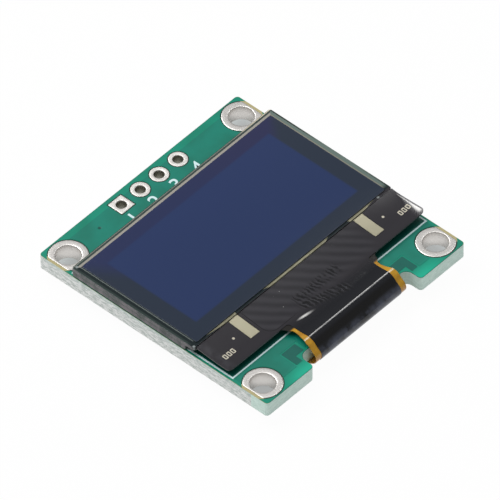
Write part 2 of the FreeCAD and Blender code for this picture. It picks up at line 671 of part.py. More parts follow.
def check(parts):
    """Stop if any object of the document failed, or any sub-part isn't sound solids."""
    doc.recompute()
    for thing in doc.Objects:
        if {"Invalid", "Error"} & set(thing.State):
            raise RuntimeError(f"{thing.Name} failed: {thing.State}")
    for part in parts:
        shape = part.Shape
        if shape.isNull() or not shape.isValid() or not shape.Solids:
            raise RuntimeError(f"{part.Label} isn't a sound shape")
        if min(solid.Volume for solid in shape.Solids) <= 0:
            raise RuntimeError(f"{part.Label} holds an empty solid")


parts = [make_board()]
parts += make_mount_pads()
parts += make_pin_pads()
parts += make_panel()
parts += [make_tail_film(), make_tail_cover()]
parts += make_window_patches()
parts += [make_driver_die()]
parts += make_fingers()
parts += make_back_parts()
check(parts)

os.makedirs("parts", exist_ok=True)
for part in parts:
    part.Shape.exportStep(os.path.join("parts", f"{part.Label}.step"))
    box = part.Shape.BoundBox
    print(f"{part.Label}: {len(part.Shape.Solids)} solids, {part.Shape.Volume:.4f} mm3, "
          f"Z {box.ZMin:.3f} to {box.ZMax:.3f}")
print(f"{len(parts)} sub-parts")
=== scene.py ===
"""The looks of a small OLED display module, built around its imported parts.

Lengths are millimetres in the part's own frame until a mesh is made, and metres in the meshes. X runs
along the row of pin holes, Y points from the film tail to that row, and Z points out of the screen.
"""
import json
import logging
import math
from collections.abc import Callable, Sequence
from dataclasses import dataclass, field, replace
from enum import Enum

import bpy
import numpy as np
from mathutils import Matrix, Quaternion, Vector
from mathutils.geometry import delaunay_2d_cdt


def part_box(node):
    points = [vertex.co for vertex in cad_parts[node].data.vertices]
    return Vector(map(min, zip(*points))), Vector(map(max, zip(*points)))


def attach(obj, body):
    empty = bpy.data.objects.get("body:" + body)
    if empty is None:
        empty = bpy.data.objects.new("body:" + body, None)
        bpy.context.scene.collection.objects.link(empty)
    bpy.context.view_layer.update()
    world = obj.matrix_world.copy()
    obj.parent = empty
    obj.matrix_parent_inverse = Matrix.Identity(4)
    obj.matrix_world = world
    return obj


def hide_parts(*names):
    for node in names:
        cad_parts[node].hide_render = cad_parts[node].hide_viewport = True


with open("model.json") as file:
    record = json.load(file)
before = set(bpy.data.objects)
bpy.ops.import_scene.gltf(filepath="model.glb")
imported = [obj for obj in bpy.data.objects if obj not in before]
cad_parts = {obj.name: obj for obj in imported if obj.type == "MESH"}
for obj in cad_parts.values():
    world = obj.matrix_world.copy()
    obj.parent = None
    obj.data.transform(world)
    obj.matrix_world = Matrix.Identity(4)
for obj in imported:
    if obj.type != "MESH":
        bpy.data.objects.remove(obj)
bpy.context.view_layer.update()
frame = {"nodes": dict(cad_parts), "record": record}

MM = 0.001
BODY = "root"
FULL_TURN = 2 * math.pi
Points = np.ndarray
Tint = tuple[float, float, float, float]
Pair = tuple[float, float]
Area = tuple[float, float, float, float]
Socket = bpy.types.NodeSocket
WHITE = (1.0, 1.0, 1.0, 1.0)
WING_FOOT = -9.05  # Y of the wing's lower edge
CREASE = -11.55  # Y of the tail's crease
PRINTED_FRAME = (-13.02, 13.02, -9.4, 10.0)  # its left, right, foot and head
FRONT = 2.2  # a height between the board's back and its face
log = logging.getLogger("small_oled_module")


def tint(red: float, green: float, blue: float) -> Tint:
    """Turn a colour as it is seen on a screen, 0 to 255, into the linear colour that a shader takes.

    Args:
        red: Red as seen, 0 to 255.
        green: Green as seen.
        blue: Blue as seen.

    Returns:
        The linear colour with full alpha.
    """
    seen = np.array([red, green, blue]) / 255
    low = seen / 12.92
    high = ((seen + 0.055) / 1.055) ** 2.4
    linear = np.where(seen <= 0.04045, low, high)
    return float(linear[0]), float(linear[1]), float(linear[2]), 1.0


# Shapes


@dataclass(frozen=True)
class Box:
    """The lowest and highest corner of a piece, in millimetres."""

    left: float
    right: float
    foot: float
    head: float
    back: float
    face: float

    @classmethod
    def of(cls, node: str) -> "Box":
        """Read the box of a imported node."""
        low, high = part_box(node)
        return cls(*(value / MM for pair in zip(low, high) for value in pair))


def rows_of(items: Sequence[object], key: str, kind: type = float) -> Points:
    """Read three numbers from each item of a mesh.

    Args:
        items: The mesh's vertices, triangles or polygons.
        key: What is read from each.
        kind: The type of the numbers.

    Returns:
        One row for each item.
    """
    values = np.empty(len(items) * 3, dtype=kind)
    items.foreach_get(key, values)
    return values.reshape(-1, 3)


def solids_of(node: str) -> list[Box]:
    """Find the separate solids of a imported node.

    Corners at the same place count as one, and the lowest label among each triangle's corners is spread
    until nothing changes, so that each solid ends with one label.

    Args:
        node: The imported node's name.

    Returns:
        The box of each solid, in millimetres.
    """
    mesh = frame["nodes"][node].data
    corners = rows_of(mesh.vertices, "co") / MM
    mesh.calc_loop_triangles()
    triangles = rows_of(mesh.loop_triangles, "vertices", np.int64)
    _, same = np.unique(np.round(corners, 4), axis=0, return_inverse=True)
    triangles = same.ravel()[triangles]
    labels = np.arange(triangles.max() + 1)
    while True:
        lowest = np.repeat(labels[triangles].min(axis=1), 3)
        spread = labels.copy()
        np.minimum.at(spread, triangles.ravel(), lowest)
        if (spread == labels).all():
            break
        labels = spread
    owner = labels[same.ravel()]
    boxes = []
    for label in np.unique(owner):
        mine = corners[owner == label]
        low, high = mine.min(axis=0), mine.max(axis=0)
        boxes.append(Box(low[0], high[0], low[1], high[1], low[2], high[2]))
    return boxes


def arc(centre: Pair, radius: float, start: float, end: float, count: int = 8) -> Points:
    """Walk along a circle between two angles in degrees: centre plus radius times cosine and sine."""
    angle = np.radians(np.linspace(start, end, count + 1))
    return np.column_stack([centre[0] + radius * np.cos(angle), centre[1] + radius * np.sin(angle)])


def circle(centre: Pair, radius: float, count: int) -> Points:
    """Return a closed circle without its repeated last point."""
    return arc(centre, radius, 0, 360, count)[:-1]


def rectangle(left: float, right: float, foot: float, head: float, corner: float = 0.0,
              count: int = 5) -> Points:
    """Draw a rectangle, with its corners rounded by quarter circles where a radius is given.

    Args:
        left: Lowest X.
        right: Highest X.
        foot: Lowest Y.
        head: Highest Y.
        corner: The corners' radius.
        count: Steps along each corner.

    Returns:
        The outline, anticlockwise.
    """
    if not corner:
        return np.array([(left, foot), (right, foot), (right, head), (left, head)], dtype=float)
    inner_left, inner_right = left + corner, right - corner
    inner_foot, inner_head = foot + corner, head - corner
    return np.vstack([
        arc((inner_left, inner_foot), corner, 180, 270, count),
        arc((inner_right, inner_foot), corner, 270, 360, count),
        arc((inner_right, inner_head), corner, 0, 90, count),
        arc((inner_left, inner_head), corner, 90, 180, count),
    ])


def ramp(value: Points, start: float, end: float) -> Points:
    """Rise in a straight line from 0 at the start to 1 at the end, which may be the lower of the two."""
    return np.clip((value - start) / (end - start), 0, 1)


def inside(points: Points, loop: Points) -> Points:
    """Tell which points lie inside a closed loop.

    A ray from each point towards +X crosses the loop's edges an odd number of times from inside.

    Args:
        points: Rows of X and Y.
        loop: The loop's corners in order.

    Returns:
        One truth value for each point.
    """
    x, y = points[:, :1], points[:, 1:2]
    x_from, y_from = loop[:, 0], loop[:, 1]
    x_to, y_to = np.roll(x_from, -1), np.roll(y_from, -1)
    spans = (y_from > y) != (y_to > y)
    rise = np.where(y_to == y_from, 1.0, y_to - y_from)
    crossing = x_from + (y - y_from) * (x_to - x_from) / rise
    return (spans & (x < crossing)).sum(axis=1) % 2 == 1


def near(points: Points, loop: Points, reach: float) -> Points:
    """Tell which points lie within a reach of a loop's edges, by the nearest point of each edge.

    Args:
        points: Rows of X and Y.
        loop: The loop's corners in order.
        reach: The distance that counts as near.

    Returns:
        One truth value for each point.
    """
    start, step = loop, np.roll(loop, -1, axis=0) - loop
    length = np.maximum((step ** 2).sum(axis=1), 1e-12)
    away = points[:, None, :] - start[None, :, :]
    along = np.clip((away * step).sum(axis=2) / length, 0, 1)
    gap = away - along[:, :, None] * step
    return ((gap ** 2).sum(axis=2) < reach ** 2).any(axis=1)


def close_points(loop: Points, longest: float) -> Points:
    """Add points along a loop's edges, so that none is longer than a given length.

    Each edge is walked in equal shares, as many as its length needs.

    Args:
        loop: The loop's corners in order.
        longest: The greatest length of an edge.

    Returns:
        The loop with its old and new corners in order.
    """
    step = np.roll(loop, -1, axis=0) - loop
    count = np.maximum(np.ceil(np.hypot(step[:, 0], step[:, 1]) / longest - 1e-6).astype(int), 1)
    start = np.repeat(np.arange(len(loop)), count)
    share = (np.arange(count.sum()) - np.repeat(np.cumsum(count) - count, count)) / count[start]
    return loop[start] + share[:, None] * step[start]


@dataclass
class FlatShape:
    """A flat shape: all that lies inside one of its outlines and outside every cut.

    Attributes:
        outlines: Closed loops that hold material.
        cuts: Closed loops that take material away, which may cross the outlines.
        spacing: Distance between the points that a bend needs, inside and along the loops, or 0 for none.
    """

    outlines: list[Points]
    cuts: list[Points] = field(default_factory=list)
    spacing: float = 0.0

    def holds(self, points: Points) -> Points:
        """Tell which points lie in the shape.

        Args:
            points: Rows of X and Y.

        Returns:
            One truth value for each point.
        """
        kept = np.zeros(len(points), dtype=bool)
        for loop in self.outlines:
            kept |= inside(points, loop)
        for loop in self.cuts:
            kept &= ~inside(points, loop)
        return kept

    def inner_points(self) -> Points:
        """Lay a square grid of points inside the shape, clear of its edges.

        Returns:
            Rows of X and Y.
        """
        every = np.vstack(self.outlines)
        low, high = every.min(axis=0), every.max(axis=0)
        x = np.arange(low[0], high[0], self.spacing) + self.spacing / 2
        y = np.arange(low[1], high[1], self.spacing) + self.spacing / 2
        grid = np.stack(np.meshgrid(x, y), axis=-1).reshape(-1, 2)
        grid = grid[self.holds(grid)]
        for loop in [*self.outlines, *self.cuts]:
            grid = grid[~near(grid, loop, self.spacing * 0.4)]
        return grid

    def triangles(self) -> tuple[Points, Points]:
        """Fill the shape with triangles between its loops and inner points.

        Returns:
            Rows of X and Y, and the anticlockwise triangles as rows of three indices.
        """
        loops = [*self.outlines, *self.cuts]
        if self.spacing:
            loops = [close_points(loop, self.spacing) for loop in loops]
        edges, first = [], 0
        for loop in loops:
            index = np.arange(len(loop))
            edges.append(np.column_stack([first + index, first + np.roll(index, -1)]))
            first += len(loop)
        places = np.vstack(loops)
        if self.spacing:
            places = np.vstack([places, self.inner_points()])
        found = delaunay_2d_cdt(places.tolist(), np.vstack(edges).tolist(), [], 0, 1e-5)
        flat = np.array([tuple(place) for place in found[0]])
        faces = np.array(found[2], dtype=np.int64)
        corners = flat[faces]
        faces = faces[self.holds(corners.mean(axis=1))]
        one, two, three = (flat[faces[:, i]] for i in range(3))
        first_side, last_side = two - one, three - one
        area = first_side[:, 0] * last_side[:, 1] - first_side[:, 1] * last_side[:, 0]
        faces[area < 0] = faces[area < 0][:, ::-1]
        faces = faces[np.abs(area) > 1e-9]
        used, compact = np.unique(faces, return_inverse=True)
        return flat[used], compact.reshape(-1, 3)


Place = Callable[[Points, Points, float], Points]


def level(base: float, thick: float) -> Place:
    """Place a flat shape as a level plate.

    Args:
        base: Height of its first face.
        thick: Its thickness, downwards if negative.

    Returns:
        The placing.
    """
    def place(x: Points, y: Points, share: float) -> Points:
        """Put points at the base plus a share of the thickness."""
        return np.column_stack([x, y, np.full(len(x), base + share * thick)])
    return place


@dataclass
class Mesh:
    """Corner points in millimetres, and faces of three or four corners."""

    points: Points
    faces: list[list[int]]

    def outward(self) -> "Mesh":
        """Turn every face round if the mesh is inside out.

        The signed volume is a sixth of the sum, over triangles, of a corner times the cross product of the
        other two, and it is below zero for a closed mesh whose faces look inwards.

        Returns:
            This mesh.
        """
        fans = [(face[0], face[i], face[i + 1]) for face in self.faces for i in range(1, len(face) - 1)]
        one, two, three = (self.points[list(corner)] for corner in zip(*fans))
        if (one * np.cross(two, three)).sum() < 0:
            self.faces = [face[::-1] for face in self.faces]
        return self


def plate(shape: FlatShape, place: Place) -> Mesh:
    """Give a flat shape a thickness: its triangles at both ends of the placing, and walls along its rims.

    Args:
        shape: The flat shape.
        place: Takes X, Y and a share of the thickness, and returns rows of X, Y and Z.

    Returns:
        The closed mesh.
    """
    flat, faces = shape.triangles()
    count = len(flat)
    sides = np.vstack([faces[:, [0, 1]], faces[:, [1, 2]], faces[:, [2, 0]]])
    twins = sides[:, 1] * count + sides[:, 0]
    rim = sides[~np.isin(sides[:, 0] * count + sides[:, 1], twins)]
    walls = np.column_stack([rim[:, 0], rim[:, 1], rim[:, 1] + count, rim[:, 0] + count])
    x, y = flat[:, 0], flat[:, 1]
    points = np.vstack([place(x, y, 0.0), place(x, y, 1.0)])
    return Mesh(points, faces[:, ::-1].tolist() + (faces + count).tolist() + walls.tolist()).outward()


def grid_mesh(points: Points, closed: bool = False, capped: bool = False) -> Mesh:
    """Join a grid of points, whose last column meets its first, with four-cornered faces.

    Args:
        points: Points as rows, columns and X, Y, Z.
        closed: Whether the last row meets the first.
        capped: Whether a face closes the first row and the last one.

    Returns:
        The mesh.
    """
    rows, columns = points.shape[:2]
    index = np.arange(rows * columns).reshape(rows, columns)
    index = np.column_stack([index, index[:, :1]])
    if closed:
        index = np.vstack([index, index[:1]])
    quads = np.stack([index[:-1, :-1], index[:-1, 1:], index[1:, 1:], index[1:, :-1]], axis=-1)
    faces = quads.reshape(-1, 4).tolist()
    if capped:
        faces.append(index[0, :columns][::-1].tolist())
        faces.append(index[-1, :columns].tolist())
    return Mesh(points.reshape(-1, 3), faces).outward()


def rounded_slab(box: Box, corner: float, edge: float) -> Mesh:
    """Make a rectangular slab with round corners and softly rounded edges.

    The section along each edge is a quarter circle: the inset is the edge radius times one less the
    sine of the angle, and the height rises with one less its cosine.

    Args:
        box: The slab's box.
        corner: Radius of the upright corners.
        edge: Radius of the edges round the back and the face.

    Returns:
        The closed mesh.
    """
    angle = np.radians(np.linspace(0, 90, 4))
    inset = edge * (1 - np.sin(angle))
    rise = edge * (1 - np.cos(angle))
    rings = []
    for drawn, z in [*zip(inset, box.back + rise), *zip(inset[::-1], box.face - rise[::-1])]:
        left, right, foot, head = box.left + drawn, box.right - drawn, box.foot + drawn, box.head - drawn
        flat = rectangle(left, right, foot, head, max(corner - drawn, 0.01))
        rings.append(np.column_stack([flat, np.full(len(flat), z)]))
    return grid_mesh(np.stack(rings), capped=True)


def ribbon(path: Sequence[Sequence[float]], width: float, base: float, high: float, shoulder: float) -> Mesh:
    """Carry a low trapezium along a flat path, as a printed line.

    At each point the section lies along the mean of the two neighbouring normals, stretched so that the
    line keeps its width round a corner.

    Args:
        path: Rows of X and Y.
        width: Width at the foot of the line.
        base: Height of its foot.
        high: Its thickness.
        shoulder: Width of its top as a share of its foot.

    Returns:
        The closed mesh.
    """
    line = np.array(path, dtype=float)
    step = np.diff(line, axis=0)
    step /= np.linalg.norm(step, axis=1)[:, None]
    normal = np.column_stack([-step[:, 1], step[:, 0]])
    before, after = np.vstack([normal[:1], normal]), np.vstack([normal, normal[-1:]])
    mean = before + after
    mean /= (mean * before).sum(axis=1)[:, None]
    offsets = np.array([-0.5, 0.5, 0.5 * shoulder, -0.5 * shoulder]) * width
    heights = np.array([base, base, base + high, base + high])
    flat = line[:, None, :] + mean[:, None, :] * offsets[None, :, None]
    lift = np.broadcast_to(heights[None, :, None], (len(line), 4, 1))
    return grid_mesh(np.concatenate([flat, lift], axis=2), capped=True)


# Shader nodes


class Amount:
    """A number that varies over a surface: an output socket that takes part in sums."""

    def __init__(self, graph: "Graph", socket: Socket) -> None:
        """Wrap a socket of a graph."""
        self.graph = graph
        self.socket = socket

    def maths(self, operation: str, *values: "Amount | float") -> "Amount":
        """Add a Math node that works on the given values in order."""
        node = self.graph.node("ShaderNodeMath", {"operation": operation}, dict(enumerate(values)))
        return Amount(self.graph, node.outputs[0])

    def __add__(self, other: "Amount | float") -> "Amount":
        """Add."""
        return self.maths("ADD", self, other)

    __radd__ = __add__

    def __sub__(self, other: "Amount | float") -> "Amount":
        """Take the other from this."""
        return self.maths("SUBTRACT", self, other)

    def __rsub__(self, other: "Amount | float") -> "Amount":
        """Take this from the other."""
        return self.maths("SUBTRACT", other, self)

    def __mul__(self, other: "Amount | float") -> "Amount":
        """Multiply."""
        return self.maths("MULTIPLY", self, other)

    __rmul__ = __mul__

    def __truediv__(self, other: "Amount | float") -> "Amount":
        """Divide this by the other."""
        return self.maths("DIVIDE", self, other)

    def __rtruediv__(self, other: "Amount | float") -> "Amount":
        """Divide the other by this."""
        return self.maths("DIVIDE", other, self)

    def size(self) -> "Amount":
        """Return the number without its sign."""
        return self.maths("ABSOLUTE", self)

    def over(self, limit: "Amount | float") -> "Amount":
        """Return 1 where this is greater than the limit, and 0 elsewhere."""
        return self.maths("GREATER_THAN", self, limit)

    def under(self, limit: "Amount | float") -> "Amount":
        """Return 1 where this is less than the limit, and 0 elsewhere."""
        return self.maths("LESS_THAN", self, limit)

    def most(self, other: "Amount | float") -> "Amount":
        """Return the greater of the two."""
        return self.maths("MAXIMUM", self, other)

    def least(self, other: "Amount | float") -> "Amount":
        """Return the smaller of the two."""
        return self.maths("MINIMUM", self, other)

    def root(self) -> "Amount":
        """Return the square root."""
        return self.maths("SQRT", self)

    def between(self, low: float, high: float, soft: float = 0.02) -> "Amount":
        """Return 1 between two values, falling to 0 over a soft edge at each."""
        return self.rise(low - soft, low + soft) * self.rise(high + soft, high - soft)

    def wave(self, length: float) -> "Amount":
        """Return a sine of this number, with a wave length in the same unit, from 0 to 1."""
        return self.maths("SINE", self * (FULL_TURN / length)) * 0.5 + 0.5

    def rise(self, low: float, high: float) -> "Amount":
        """Rise smoothly from 0 to 1.

        Args:
            low: Where this gives 0.
            high: Where it gives 1, which may be the lower of the two.

        Returns:
            The risen number.
        """
        settings = {"interpolation_type": "SMOOTHSTEP"}
        values = {"Value": self, "From Min": low, "From Max": high}
        return Amount(self.graph, self.graph.node("ShaderNodeMapRange", settings, values).outputs[0])


@dataclass
class Spot:
    """A point of the surface in millimetres in the part's frame, one amount for each axis."""

    x: Amount
    y: Amount
    z: Amount
    vector: Socket

    def within(self, left: float, right: float, foot: float, head: float, soft: float) -> Amount:
        """Return 1 inside a rectangle in X and Y, falling to 0 over a soft edge."""
        return self.x.between(left, right, soft) * self.y.between(foot, head, soft)

    def round_about(self, centre: Pair, stretch: float = 1.0, turn: float = 0.0) -> Amount:
        """Return the distance in X and Y from a centre, the root of the sum of two squares.

        Args:
            centre: X and Y of the centre.
            stretch: How many times longer than wide the lines of equal distance are.
            turn: Angle of their long side from X, in degrees.

        Returns:
            The distance, measured across the long side.
        """
        cosine, sine = math.cos(math.radians(turn)), math.sin(math.radians(turn))
        x, y = self.x - centre[0], self.y - centre[1]
        along = (x * cosine + y * sine) / stretch
        across = y * cosine - x * sine
        return (along * along + across * across).root()


class Tree:
    """A tree of shader nodes."""

    def __init__(self, owner: bpy.types.Material | bpy.types.World) -> None:
        """Give a material or a world an empty tree.

        Args:
            owner: The material or the world.
        """
        owner.use_nodes = True
        self.tree = owner.node_tree
        self.tree.nodes.clear()

    def feed(self, socket: Socket, value: object) -> None:
        """Link something to an input, or set the input.

        Args:
            socket: The input.
            value: An amount or a socket to link, or a plain value.
        """
        if isinstance(value, Amount):
            value = value.socket
        if isinstance(value, Socket):
            self.tree.links.new(value, socket)
        else:
            socket.default_value = value

    def node(self, kind: str, settings: dict[str, object] | None = None,
             values: dict[int | str, object] | None = None) -> bpy.types.Node:
        """Add a node.

        Args:
            kind: The node's type.
            settings: Its own settings, which are set first.
            values: A value or a link for each of its inputs, by name or index.

        Returns:
            The node.
        """
        node = self.tree.nodes.new(kind)
        for name, setting in (settings or {}).items():
            setattr(node, name, setting)
        for key, value in (values or {}).items():
            self.feed(node.inputs[key], value)
        return node


class Graph(Tree):
    """The nodes of one material, and the few ways in which this scene adds to them."""

    def __init__(self, name: str) -> None:
        """Start a material with nothing but its output and one principled shader.

        Args:
            name: The material's name.
        """
        self.material = bpy.data.materials.new(name)
        super().__init__(self.material)
        self.shader = self.node("ShaderNodeBsdfPrincipled")
        self.output = self.node("ShaderNodeOutputMaterial", values={"Surface": self.shader.outputs[0]})

    def spot(self) -> Spot:
        """Work out the place on the surface from the piece's own coordinates.

        Returns:
            The place in millimetres.
        """
        place = self.node("ShaderNodeTexCoord").outputs["Object"]
        scaled = self.node("ShaderNodeVectorMath", {"operation": "SCALE"}, {0: place, "Scale": 1 / MM})
        split = self.node("ShaderNodeSeparateXYZ", values={0: scaled.outputs[0]})
        return Spot(*(Amount(self, output) for output in split.outputs), scaled.outputs[0])

    def noise(self, spot: Spot, scale: float, detail: float, rough: float = 0.55,
              stretch: tuple[float, float, float] = (1, 1, 1)) -> Amount:
        """Return a soft random field, near 0.5 on average.

        Args:
            spot: The place on the surface.
            scale: Features for each millimetre.
            detail: Octaves of finer features.
            rough: Weight of the finer features.
            stretch: How much the field is squeezed along each axis.

        Returns:
            The field.
        """
        squeezed = self.node("ShaderNodeVectorMath", {"operation": "MULTIPLY"}, {0: spot.vector, 1: stretch})
        values = {"Vector": squeezed.outputs[0], "Scale": scale, "Detail": detail, "Roughness": rough}
        return Amount(self, self.node("ShaderNodeTexNoise", values=values).outputs[0])

    def cells(self, spot: Spot, scale: float) -> Amount:
        """Return the distance field of random cells, with a number of cells for each millimetre."""
        values = {"Vector": spot.vector, "Scale": scale}
        return Amount(self, self.node("ShaderNodeTexVoronoi", values=values).outputs["Distance"])

    def mix(self, share: Amount | float, first: object, second: object) -> Socket:
        """Mix two colours: the first where the share is 0, and the second where it is 1."""
        settings = {"data_type": "RGBA", "clamp_factor": True}
        return self.node("ShaderNodeMix", settings, {0: share, 6: first, 7: second}).outputs[2]

    def lay(self, colour: object, *coats: tuple[Amount | float, object]) -> Socket:
        """Lay coats over a colour in order.

        Args:
            colour: The colour below them.
            coats: How much of each coat shows, and its own colour.

        Returns:
            The colour that is seen.
        """
        for share, tone in coats:
            colour = self.mix(share, colour, tone)
        return colour

    def bump(self, height: Amount, strength: float = 1.0) -> Socket:
        """Return the surface's direction for a height in millimetres."""
        values = {"Strength": strength, "Distance": MM, "Height": height}
        return self.node("ShaderNodeBump", values=values).outputs[0]

    def surface(self, **values: object) -> None:
        """Set the principled shader's inputs, each named with underscores for its spaces."""
        for name, value in values.items():
            self.feed(self.shader.inputs[name.replace("_", " ")], value)


# Finishes


class Finish:
    """A finish of the module: a name, and nodes that are made the first time it is asked for."""

    name: str

    def shade(self, graph: Graph) -> None:
        """Set up the finish's nodes."""
        raise NotImplementedError

    def material(self) -> bpy.types.Material:
        """Find the finish's material, or make it.

        Returns:
            The material.
        """
        found = bpy.data.materials.get(self.name)
        if found is None:
            graph = Graph(self.name)
            self.shade(graph)
            found = graph.material
        return found


@dataclass(frozen=True)
class Laminate(Finish):
    """Glass-fibre board: pale, streaked cut edges, and a bare face where the mask leaves it, olive at the
    flat-cut sides and dark elsewhere as painted shade.

    Attributes:
        board: The board's box.
        end_line: Y below which the cut edges are painted a paler green, as painted light on the lower faces.
        cut_side: Distance from the middle in X past which the bare face is pale.
        skin: How near to its face or back the laminate counts as a bare face.
    """

    board: Box
    name: str = "laminate"
    pale: Tint = tint(250, 252, 250)
    shade_tone: Tint = tint(204, 212, 208)
    speck_tone: Tint = tint(138, 148, 142)
    green: Tint = tint(166, 204, 192)
    end_tone: Tint = tint(220, 252, 240)
    # painted shade: the bare face is dark green for the shadowed gap between the mask and the lands
    bare: Tint = tint(14, 58, 46)
    cut_bare: Tint = tint(184, 174, 128)
    end_line: float = -11.9
    cut_side: float = 13.0
    skin: float = 0.004

    def shade(self, graph: Graph) -> None:
        """Layer glass cloth along the edge, tint it green near the mask, paint the lower cut faces paler as
        painted light, and keep the bare faces dark as painted shade.

        Args:
            graph: The material's nodes.
        """
        spot = graph.spot()
        face = self.board.face
        cloth = graph.noise(spot, 1.5, 5, 0.62, (1, 1, 3.2))
        specks = graph.noise(spot, 7.0, 2, 0.5, (1, 1, 2))
        near_mask = spot.z.rise(face - 0.5, face - 0.05) * 0.6
        skin = spot.z.over(face - self.skin).most(spot.z.under(self.board.back + self.skin))
        # painted shade in the gap round the lands, olive only at the flat-cut sides
        bare = graph.mix(spot.x.size().over(self.cut_side), self.bare, self.cut_bare)
        colour = graph.lay(
            self.shade_tone,
            (cloth.rise(0.38, 0.6), self.pale),
            (specks.rise(0.62, 0.72) * 0.5, self.speck_tone),
            (near_mask * (1.15 - cloth), self.green),
            # painted light: the cut faces below the end line are painted paler
            (spot.y.under(self.end_line) * 0.7, self.end_tone),
            (skin, bare),
        )
        height = cloth * 0.035 + specks * 0.012
        graph.surface(Base_Color=colour, Roughness=cloth * 0.3 + 0.45, Normal=graph.bump(height, 0.6),
                      Specular_IOR_Level=0.4)


@dataclass(frozen=True)
class SolderMask(Finish):
    """Green mask in a thin glossy coat, with a faint weave of the cloth below it.

    Attributes:
        gloss: Its roughness without the grain.
        weave_pitch: Pitch of the weave.
        lit_y: Y where painted light, glowing through the board, starts to pale the mask towards the notch
            side, and where it is palest.
        lit_x: Distance from the middle in X where the pale stretch ends, and where it is full.
        via: X and Y of the small via.
        via_reach: How far round the via the mask is sunk.
    """

    name: str = "solder_mask"
    tone: Tint = tint(2, 145, 119)
    deep: Tint = tint(0, 132, 107)
    gloss: float = 0.3
    lit_tone: Tint = tint(20, 192, 158)
    via_tone: Tint = tint(0, 62, 52)
    under_tone: Tint = tint(0, 84, 74)
    weave_pitch: float = 0.5
    lit_y: Pair = (-12.3, -13.7)
    lit_x: Pair = (11.5, 8.0)
    via: Pair = (-7.3, 11.96)
    via_reach: float = 0.24

    def shade(self, graph: Graph) -> None:
        """Let the colour drift, pale it by the notch as painted light, darken it under the panel as painted
        shade from the wing together with mask that has no copper below it, and roll with the weave.

        Args:
            graph: The material's nodes.
        """
        spot = graph.spot()
        drift = graph.noise(spot, 0.35, 2)
        weave = spot.x.wave(self.weave_pitch) * spot.y.wave(self.weave_pitch)
        grain = graph.noise(spot, 14.0, 2)
        lit = spot.y.rise(*self.lit_y) * spot.x.size().rise(*self.lit_x)
        left, right, foot, head = PRINTED_FRAME
        # painted shade under the panel and the wing's edge, together with darker mask where no copper lies
        # below it
        under = spot.within(left, right, foot, head - 0.1, 0.08) * spot.z.over(FRONT)
        sunk = spot.round_about(self.via).rise(self.via_reach, self.via_reach * 0.3)
        colour = graph.lay(
            self.tone,
            (drift.rise(0.35, 0.7), self.deep),
            # painted light: the mask glows paler towards the notch
            (lit * 0.7, self.lit_tone),
            (under * 0.8, self.under_tone),
            (sunk * 0.85, self.via_tone),
        )
        height = weave * 0.0012 + grain * 0.0016 - sunk * 0.02
        graph.surface(Base_Color=colour, Roughness=grain * 0.12 + self.gloss, Normal=graph.bump(height),
                      Specular_IOR_Level=0.35, Coat_Weight=0.25, Coat_Roughness=0.18)


@dataclass(frozen=True)
class Ink(Finish):
    """Printed ink with a slightly uneven cover."""

    name: str = "white_ink"
    tone: Tint = tint(222, 246, 248)
    thin: Tint = tint(176, 222, 222)

    def shade(self, graph: Graph) -> None:
        """Thin the ink in small patches.

        Args:
            graph: The material's nodes.
        """
        cover = graph.noise(graph.spot(), 7.0, 3)
        colour = graph.mix(cover.rise(0.56, 0.72), self.tone, self.thin)
        graph.surface(Base_Color=colour, Roughness=0.6, Normal=graph.bump(cover * 0.004))


@dataclass(frozen=True)
class Metal(Finish):
    """Bare metal with a satin skin, uneven in colour and in gloss.

    Attributes:
        rough: Its mean roughness.
        dents: Depth of its soft dents in millimetres.
        grain: Dents for each millimetre.
        barrel: Lowest and highest Z of a hole's barrel, which has a colour of its own; by default that colour
            is darker, as painted shade deep in the hole.
    """

    name: str
    tone: Tint
    dull: Tint
    rough: float
    metallic: float = 0.9
    dents: float = 0.006
    grain: float = 5.0
    barrel: Pair = (0.0, 0.0)
    # painted shade: the default barrel tone is darker for the shade inside a small hole
    barrel_tone: Tint = tint(150, 150, 138)
    barrel_metallic: float = 0.9

    def shade(self, graph: Graph) -> None:
        """Roll the surface softly, and dull it in cloudy patches.

        Args:
            graph: The material's nodes.
        """
        spot = graph.spot()
        cloud = graph.noise(spot, 1.6, 4)
        roll = graph.noise(spot, self.grain, 2, 0.4)
        bore = spot.z.between(*self.barrel, 0.03)
        colour = graph.lay(self.tone, (cloud.rise(0.38, 0.68), self.dull), (bore, self.barrel_tone))
        metallic = bore * (self.barrel_metallic - self.metallic) + self.metallic
        graph.surface(Base_Color=colour, Metallic=metallic, Roughness=cloud * 0.22 + (self.rough - 0.11),
                      Normal=graph.bump(roll * self.dents))


